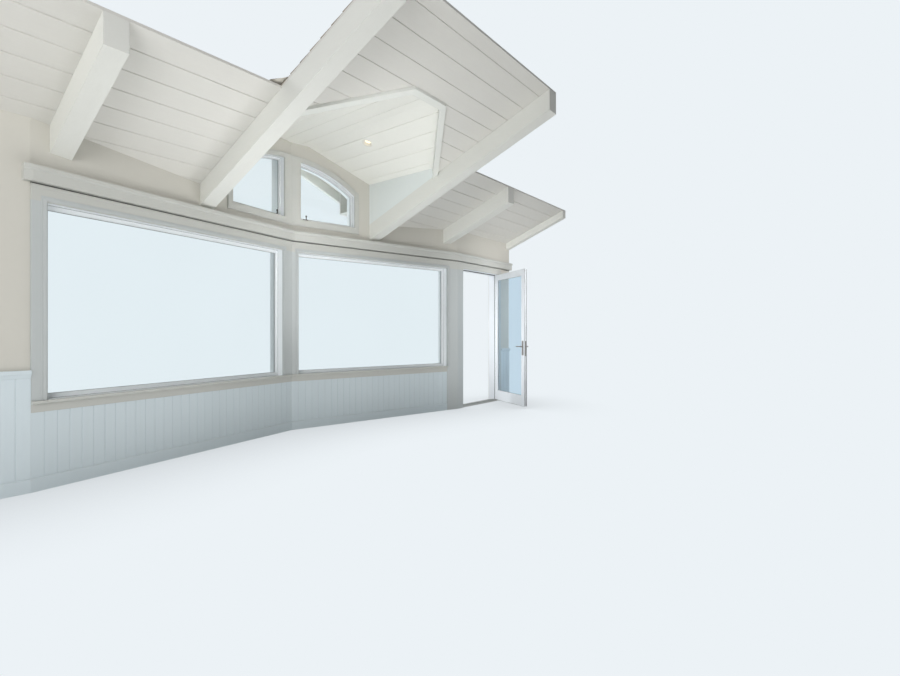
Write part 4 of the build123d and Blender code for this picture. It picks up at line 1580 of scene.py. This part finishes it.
def under_dormer_roof(obj: bpy.types.Object) -> bpy.types.Object:
    """Cut away what rises into the dormer roof's slopes."""
    top = (0, 0, ROOF_TOP_Z - ROOF_T)
    bisect(obj, top, (DORMER_FALL, 0, 1))
    return bisect(obj, top, (-DORMER_FALL, 0, 1))


def under_main_slope(obj: bpy.types.Object) -> bpy.types.Object:
    """Cut away what rises into the main slope."""
    return bisect(obj, (0, WALL_Y, CEILING_AT_WALL), (0, CEILING_FALL, 1))


def over_main_slope(obj: bpy.types.Object, rise: float) -> bpy.types.Object:
    """Cut away what lies less than a rise above the main slope's lower face."""
    return bisect(obj, (0, WALL_Y, CEILING_AT_WALL + rise), (0, -CEILING_FALL, -1))


@dataclass
class LapSiding:
    """Lapped boards on the sea side, cut round the windows and the door, with corner boards."""

    foot: float = LAP_FOOT
    exposure: float = LAP_EXPOSURE
    butt_t: float = 0.018
    top_t: float = 0.003
    half: float = DORMER_HALF + CHEEK_T
    overrun: float = 0.1
    wall_top: float = 2.8
    gable_top: float = 3.8
    gable_foot: float = 2.8055
    arch_edge: float = 0.062
    door_edge: float = 0.110
    casing_gap: float = 0.020
    casing_w: float = 0.088
    cap_end: float = 0.125
    cap_t: float = 0.034
    cap_h: float = 0.020
    corner_w: float = 0.070
    corner_t: float = 0.021
    corner_foot: float = 2.3
    corner_in: float = 0.004
    deck_gap: float = 0.001
    cut_back: float = 0.020
    cut_front: float = 0.050
    window_n: tuple[float, float] = (-0.1, 0.2)
    window_top: float = 4.0
    arch_sides: int = 192

    def sheet(self, name: str, s0: float, s1: float, top: float) -> bpy.types.Object:
        """Stack lapped boards on a run's outer face, in the run's own axes."""
        head = self.foot + self.exposure - 0.0006
        board = block(name, (s0, WALL_T, self.foot), (s1, WALL_T + self.butt_t, head))
        mid_z, mid_n = self.foot + self.exposure / 2, WALL_T + self.butt_t / 2
        shift(
            board, Element.VERT, lambda at, normal: at.z > mid_z and at.y > mid_n,
            (0, self.top_t - self.butt_t, 0),
        )
        return repeat(board, math.ceil((top - self.foot) / self.exposure), (0, 0, self.exposure))

    def hole(self, box: Sequence[float]) -> bpy.types.Object:
        """Cutter through the siding for low s, low z, high s and high z."""
        s0, z0, s1, z1 = box
        n0, n1 = WALL_T - self.cut_back, WALL_T + self.cut_front
        return block("hole", (s0, n0, z0), (s1, n1, z1))

    def arch_hole(self, bend_s: float, side: int) -> bpy.types.Object:
        """Cutter for the outer casing of one half-arch window."""
        edge = self.arch_edge
        centre = (bend_s, WALL_T + (self.cut_front - self.cut_back) / 2, ARCH_CENTRE_Z)
        through = self.cut_back + self.cut_front
        disc = rod("arch", centre, "Y", ARCH_R + edge, through, self.arch_sides)
        s0, s1 = sorted((bend_s + side * (DW_START - edge), bend_s + side * (DW_END + edge)))
        n0, n1 = (WALL_T + n for n in self.window_n)
        window = block("window", (s0, n0, DW_SILL_Z - edge), (s1, n1, self.window_top))
        return carve(disc, window, "INTERSECT")

    def bay(self, side: str, run: Run, sign: int, s0: float, s1: float) -> None:
        """Clad one facet: below and beside the dormer, and the dormer's own front.

        Args:
            side: Its name.
            run: Its run.
            sign: -1 left of the bend, 1 right of it.
            s0: Start of its picture window along the run.
            s1: End of the window.
        """
        edge, over = OUTER_CASING_W, self.overrun
        bend_s = BAY_RUN if sign < 0 else 0.0
        low = self.sheet(f"{side}_siding", -over, run.length + over, self.wall_top)
        carve(low, self.hole((s0 - edge, SILL_Z - edge, s1 + edge, HEAD_Z + edge)))
        carve(low, self.arch_hole(bend_s, sign))
        place(mitred(low, run), run.matrix())
        front = twin(low, f"{side}_dormer_siding")
        under_main_slope(bisect(low, (sign * self.half, 0, 0), (-sign, 0, 0)))
        bisect(front, (sign * self.half, 0, 0), (sign, 0, 0))
        high = self.sheet(f"{side}_gable_siding", -over, run.length + over, self.gable_top)
        bisect(high, (0, 0, self.gable_foot), (0, 0, -1))
        carve(high, self.arch_hole(bend_s, sign))
        place(mitred(high, run), run.matrix())
        under_dormer_roof(bisect(high, (sign * self.half, 0, 0), (sign, 0, 0)))
        deliver(join(f"{side}_bay_siding", [low, front, high]), SIDING_PAINT)

    def ends(self) -> None:
        """Clad the straight stretches at both ends, round the door on the right."""
        left = self.sheet("left_end_siding", 0.0, LEFT_RUN.length + self.overrun, self.wall_top)
        right = self.sheet("right_end_siding", -self.overrun, RIGHT_RUN.length, self.wall_top)
        edge = self.door_edge
        carve(right, self.hole((DOOR_NEAR - edge, -0.1, DOOR_FAR + edge, DOOR_H + edge)))
        for siding, run in ((left, LEFT_RUN), (right, RIGHT_RUN)):
            under_main_slope(place(mitred(siding, run), run.matrix()))
            deliver(siding, SIDING_PAINT)

    def door_casing(self) -> None:
        """Plain boards round the doorway on the sea side, with a cap."""
        gap, end = self.casing_gap, self.cap_end
        box = (DOOR_NEAR - gap, -0.3, DOOR_FAR + gap, DOOR_H + gap)
        ring = wall_ring("outer_door_casing", box, self.casing_w, WALL_T, OUTER_CASING_T)
        bisect(ring, (0, 0, 0), (0, 0, -1))
        foot = DOOR_H + gap + self.casing_w
        low = (DOOR_NEAR - end, WALL_T, foot)
        cap = block("cap", low, (DOOR_FAR + end, WALL_T + self.cap_t, foot + self.cap_h))
        pieces = [soften(ring, 0.0025), soften(cap, 0.003)]
        piece = place(join("outer_door_casing", pieces), RIGHT_RUN.matrix())
        deliver(piece, RAKE_PAINT, smooth=True)

    def corner_boards(self) -> None:
        """Upright boards at the dormer's outer corners, up to its roof."""
        for side, run, sign in (("left", BAY_LEFT, -1), ("right", BAY_RIGHT, 1)):
            bend_s = BAY_RUN if sign < 0 else 0.0
            out = self.half - self.corner_in - WALL_T * math.sin(BAY_ANGLE)
            s = bend_s + sign * out / math.cos(BAY_ANGLE)
            s0, s1 = sorted((s, s - sign * self.corner_w))
            low, high = (s0, WALL_T, self.corner_foot), (s1, WALL_T + self.corner_t, self.gable_top)
            board = place(block(f"{side}_corner_board", low, high), run.matrix())
            under_dormer_roof(over_main_slope(board, CEILING_T + self.deck_gap))
            deliver(soften(board, 0.002), RAKE_PAINT, smooth=True)

    def dress(self) -> None:
        """Clad the whole sea side."""
        self.bay("left", BAY_LEFT, -1, LEFT_JAMB, BAY_RUN - POST_LEFT)
        self.bay("right", BAY_RIGHT, 1, POST_RIGHT, BAY_RUN - RIGHT_JAMB)
        self.ends()
        self.door_casing()
        self.corner_boards()


@dataclass
class ShingleRoof:
    """Wood shingles, laid into the upper 16 mm of the dormer's roof and onto the main slope."""

    sunk: float = 0.016
    exposure: float = 0.140
    lap_gap: float = 0.0005
    joint: float = 0.003
    width: tuple[float, float] = (0.10, 0.19)
    ragged: float = 0.004
    butt_t: float = 0.011
    head_t: float = 0.003
    front: float = 0.4545
    back: float = -3.10
    held_back: float = 0.020
    rim_gap: float = 0.004
    ridge_gap: float = 0.012
    valley_gap: float = 0.050
    valley_rise: float = 0.066
    ridge_rise: float = 0.090
    ridge_flat: float = 0.0004
    ridge_tone: float = 0.35
    open_gap: float = 0.3
    bed: float = 0.0008
    bed_cut: float = 0.0003
    first_joint: float = 0.10
    cap_w: float = 0.105
    cap_z: tuple[float, float] = (0.0055, 0.0145)
    drip_t: float = 0.0015
    drip_z: tuple[float, float] = (-0.048, -0.010)
    drip_rise: float = 0.060
    drip_gap: float = 0.030
    rim: float = DORMER_HALF + CHEEK_T + EAVE_OVERHANG
    chance: random.Random = field(default_factory=lambda: random.Random(11))

    @property
    def slope(self) -> float:
        """Angle of the roof, in radians."""
        return math.atan(DORMER_FALL)

    def axes(self, sign: int) -> Matrix:
        """Matrix from u down the slope, y and height over the lowered deck to the frame."""
        base = Matrix.Translation((0, 0, ROOF_TOP_Z - self.sunk))
        turn = Matrix.Rotation(self.slope, 4, "Y")
        flip = Matrix.Scale(sign, 4, (1, 0, 0))
        return base @ flip @ turn

    def slope_y(self, z: float, rise: float) -> float:
        """Give the y where the main slope, raised by a rise, reaches a height."""
        return WALL_Y - (z - CEILING_AT_WALL - rise) / CEILING_FALL

    def deck(self, side: str) -> None:
        """Lower the deck's upper face to make room for the shingles."""
        deck = lifted(f"dormer_{side}_roof", f"{side}_deck")
        shift(deck, Element.FACE, turned_to(UP), (0, 0, -self.sunk))
        deliver(deck, DECK_PAINT, replaced=(f"dormer_{side}_roof",))

    def shingle(self, u0: float, u1: float, y0: float, y1: float) -> bpy.types.Object:
        """Model one tapered shingle over the deck, thick at its lower end."""
        piece = block("shingle", (u0, y0, 0.0), (u1, y1, self.head_t))
        middle = (u0 + u1) / 2
        shift(
            piece, Element.VERT, lambda at, normal: at.x > middle and at.z > self.head_t / 2,
            (0, 0, self.butt_t - self.head_t),
        )
        return toned(piece, self.chance.random())

    def side_shingles(self, side: str, sign: int) -> None:
        """Lay one slope in staggered courses and trim it at the valley."""
        length = self.rim / math.cos(self.slope) - self.rim_gap
        rows = []
        for course in range(math.ceil(length / self.exposure)):
            pieces = []
            u1 = length - course * self.exposure
            u0 = max(self.ridge_gap, u1 - self.exposure + self.lap_gap)
            valley = self.slope_y(ROOF_TOP_Z - DORMER_FALL * u1, 0.0) - self.valley_gap
            y = self.front
            while y > max(self.back, valley):
                width = self.chance.uniform(*self.width)
                foot = u1 - self.chance.uniform(0, self.ragged)
                pieces.append(self.shingle(u0, foot, y - width + self.joint, y))
                y -= width
            rows.append(join("course", pieces))
        roof = place(join(f"{side}_shingles", rows), self.axes(sign))
        if sign < 0:
            open_up(roof, Element.FACE, anything)
            close_up()
        deliver(over_main_slope(roof, self.valley_rise), ROOF_SHINGLE)

    def ridge(self) -> None:
        """Lay cap boards along the ridge."""
        back = self.slope_y(ROOF_TOP_Z, self.ridge_rise)
        low, high = self.cap_z
        caps = []
        for sign in (-1, 1):
            cap = block("cap", (0.0, back, low), (self.cap_w, self.front, high))
            caps.append(bisect(place(cap, self.axes(sign)), (0, 0, 0), (-sign, 0, 0)))
        ridge = bisect(join("ridge_caps", caps), (0, 0, ROOF_TOP_Z - self.ridge_flat), (0, 0, 1))
        ridge = soften(toned(ridge, self.ridge_tone), 0.0015, 1)
        deliver(ridge, ROOF_SHINGLE)

    def drips(self) -> None:
        """Fold drip edges over the eaves."""
        foot = ROOF_TOP_Z - DORMER_FALL * self.rim
        end = self.slope_y(foot, self.drip_rise) + self.drip_gap
        low, high = self.drip_z
        drips = []
        for sign in (-1, 1):
            x0, x1 = sorted((sign * self.rim, sign * (self.rim + self.drip_t)))
            drips.append(block("drip", (x0, end, foot + low), (x1, self.front, foot + high)))
        deliver(join("drip_edges", drips), SILL_METAL)

    def covered(self, x: float, y: float) -> bool:
        """Tell whether a spot of the main slope is shut in under the dormer's roof."""
        gap = ROOF_TOP_Z - DORMER_FALL * abs(x) - CEILING_AT_WALL + CEILING_FALL * (y - WALL_Y)
        return abs(x) < DORMER_HALF and gap > self.open_gap

    def slope_shingles(self, node: str) -> None:
        """Lay one part of the main slope, a little back from its edge over the room.

        Args:
            node: The boards that carry the shingles.
        """
        low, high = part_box(node)
        tilt = math.atan(CEILING_FALL)
        flat = Matrix.Rotation(-tilt, 4, "X") @ Matrix.Rotation(math.pi / 2, 4, "Z")
        top = CEILING_AT_WALL + CEILING_T
        axes = Matrix.Translation((0, WALL_Y, top + self.bed)) @ flat
        rows = []
        u1 = (high.y + self.held_back - WALL_Y) / math.cos(tilt)
        while u1 * math.cos(tilt) > low.y - WALL_Y:
            pieces = []
            middle = WALL_Y + (u1 - self.exposure / 2) * math.cos(tilt)
            x = high.x + self.chance.uniform(0, self.first_joint)
            while x > low.x:
                width = self.chance.uniform(*self.width)
                if not self.covered(x - width / 2, middle):
                    u0 = u1 - self.exposure + self.lap_gap
                    foot = u1 - self.chance.uniform(0, self.ragged)
                    pieces.append(self.shingle(u0, foot, -x, width - x - self.joint))
                x -= width
            if pieces:
                rows.append(join("course", pieces))
            u1 -= self.exposure
        roof = place(join(node.replace("ceiling", "shingles"), rows), axes)
        rise = CEILING_T + self.bed_cut - CEILING_FALL * self.held_back
        outline = shift(
            lifted(node, "outline"), Element.FACE, anything, (0, self.held_back, rise)
        )
        deliver(carve(roof, outline, "INTERSECT"), ROOF_SHINGLE)

    def dress(self) -> None:
        """Lay the whole roof."""
        for side, sign in (("left", -1), ("right", 1)):
            self.deck(side)
            self.side_shingles(side, sign)
        self.ridge()
        self.drips()
        for node in ("left_side_ceiling", "slope_ceiling", "right_side_ceiling"):
            self.slope_shingles(node)


@dataclass(frozen=True)
class Lamp:
    """One soft square lamp, in metres, watts and degrees."""

    name: str
    at: tuple[float, float, float]
    towards: tuple[float, float, float]
    side: float
    power: float
    beam: float = 180.0

    def hang(self) -> None:
        """Add the lamp to the scene, unseen by the camera."""
        data = bpy.data.lights.new(self.name, "AREA")
        data.shape = "SQUARE"
        data.size = self.side
        data.energy = self.power
        data.spread = math.radians(self.beam)
        lamp = bpy.data.objects.new(self.name, data)
        lamp.visible_camera = lamp.visible_transmission = lamp.visible_glossy = False
        lamp.location = self.at
        aim = Vector(self.towards) - Vector(self.at)
        lamp.rotation_euler = aim.to_track_quat("-Z", "Y").to_euler()
        bpy.context.scene.collection.objects.link(lamp)


LAMPS = (
    Lamp("room_key", (-5.6, -4.2, 2.4), (-0.5, -0.6, 1.6), 3.0, 145),
    Lamp("room_bounce", (0.0, -3.2, 0.03), (0.0, -3.2, 3.0), 4.0, 60),
    Lamp("left_bounce", (-2.6, -2.4, 0.03), (-2.6, -2.4, 3.0), 2.0, 6),
    Lamp("slope_bounce", (-1.7, -2.3, 0.5), (-1.7, -1.2, 2.9), 0.8, 1, 50),
    Lamp("well_bounce", (0.0, -1.5, 1.2), (0.0, -1.1, 3.2), 0.8, 10),
    Lamp("end_fill", (1.2, -3.6, 1.4), (4.1, -0.8, 2.5), 1.2, 6.5, 50),
    Lamp("corner_fill", (4.6, -4.6, 1.9), (4.0, -0.8, 1.4), 1.6, 9.5, 50),
    Lamp("dormer_fill", (-0.6, -4.5, 2.9), (0.0, 0.0, 2.95), 0.5, 1.3, 30),
    Lamp("leaf_fill", (-0.6, -2.2, 1.1), (3.55, -1.1, 0.6), 0.8, 2.4, 30),
    Lamp("doorway_sun", (1.9, 2.2, 1.6), (3.5, -1.1, 1.2), 0.8, 2, 30),
    Lamp("eave_bounce", (0.4, 0.95, 0.5), (0.4, 0.3, 3.3), 0.8, 6, 50),
    Lamp("sea_key", (-3.5, 5.5, 6.5), (0.0, 0.0, 1.4), 1.0, 312),
    Lamp("sea_fill", (6.0, 6.0, 2.5), (0.0, 0.0, 1.4), 4.0, 130),
    Lamp("sea_bounce", (0.0, 4.2, 0.03), (0.0, 4.2, 3.0), 4.0, 40),
)


class Studio:
    """Floor, lights, white background and the camera at the photograph's place."""

    eye = (-3.682, -5.459, 1.200)
    heading = math.radians(38)
    lens = 20.1
    shift_y = -0.0059
    backdrop = (236, 242, 246)
    sky = 0.19
    shadow = 0.62
    shadow_reach = 1.6

    def camera(self) -> None:
        """Set the camera at the photograph's place."""
        data = bpy.data.cameras.new("camera")
        data.sensor_width = 36
        data.lens = self.lens
        data.shift_y = self.shift_y
        data.clip_end = 200
        camera = bpy.data.objects.new("camera", data)
        camera.location = self.eye
        camera.rotation_euler = (math.pi / 2, 0, self.heading - math.pi / 2)
        bpy.context.scene.collection.objects.link(camera)
        bpy.context.scene.camera = camera

    def seen(self, w: Wiring) -> bpy.types.NodeSocket:
        """Tell what is seen directly, in a mirror or through glass from what only gives light."""
        path = w.add("LightPath").outputs
        seen = w.math("MAXIMUM", path["Is Camera Ray"], path["Is Glossy Ray"])
        return w.math("MAXIMUM", seen, path["Is Transmission Ray"])

    def floor(self) -> None:
        """Lay a pale floor that shows only the soft shadow of what stands near it."""
        deselect()
        bpy.ops.mesh.primitive_plane_add(size=60, location=(0, 0, -0.001))
        floor = bpy.context.object
        floor.name = "floor"
        material, w, shader = start_material("pale_floor")
        spot = w.spot()
        colour = w.blend(w.noise(spot, 0.6, 2.0), linear(226, 226, 224), linear(232, 232, 230))
        rough = w.spread(w.noise(spot, 3.0), 0.3, 0.7, 0.7, 0.8)
        w.feed(shader, Base_Color=colour, Roughness=rough)
        near = w.feed(w.add("AmbientOcclusion", samples=8), Distance=self.shadow_reach)
        shade = w.spread(near.outputs["AO"], 0.15, 0.98, self.shadow, 1.0)
        shaded = w.blend(shade, (0.0, 0.0, 0.0, 1), linear(*self.backdrop))
        pale = w.feed(w.add("Emission"), Color=shaded, Strength=1.0)
        mixed = w.add("MixShader")
        w.feed(mixed, _0=self.seen(w), _1=shader.outputs[0], _2=pale.outputs[0])
        w.feed(material.node_tree.nodes["Material Output"], Surface=mixed.outputs[0])
        floor.data.materials.append(material)

    def background(self) -> None:
        """Give the world a soft white light, and a plain pale background behind it."""
        world = bpy.data.worlds.new("studio")
        bpy.context.scene.world = world
        world.use_nodes = True
        tree = world.node_tree
        tree.nodes.clear()
        w = Wiring(tree)
        light = w.feed(w.add("Background"), Color=(1.0, 1.0, 1.0, 1), Strength=self.sky)
        pale = w.feed(w.add("Background"), Color=linear(*self.backdrop), Strength=1.0)
        mixed = w.add("MixShader")
        w.feed(mixed, _0=self.seen(w), _1=light.outputs[0], _2=pale.outputs[0])
        w.feed(w.add("OutputWorld"), Surface=mixed.outputs[0])

    def dress(self) -> None:
        """Build the whole studio."""
        bpy.context.scene.view_settings.view_transform = "Standard"
        self.camera()
        self.floor()
        self.background()
        for lamp in LAMPS:
            lamp.hang()


def dress_nodes() -> None:
    """Give every CAD node its finish."""
    for finish, names in NODES_OF.items():
        for name in names:
            paint(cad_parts[name], finish)


def main() -> None:
    """Build every sub-assembly in order and note the sizes."""
    logging.basicConfig(level=logging.INFO, format="%(name)s %(message)s", stream=sys.stdout)
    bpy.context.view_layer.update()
    Studio().dress()
    dress_nodes()
    BoardedCeiling().dress()
    Glazing().dress()
    WindowCasings().dress()
    TrimLines().dress()
    DoorFittings().dress()
    LampInsert().dress()
    LapSiding().dress()
    ShingleRoof().dress()
    CrankDetails().dress()


if __name__ == "__main__":
    main()
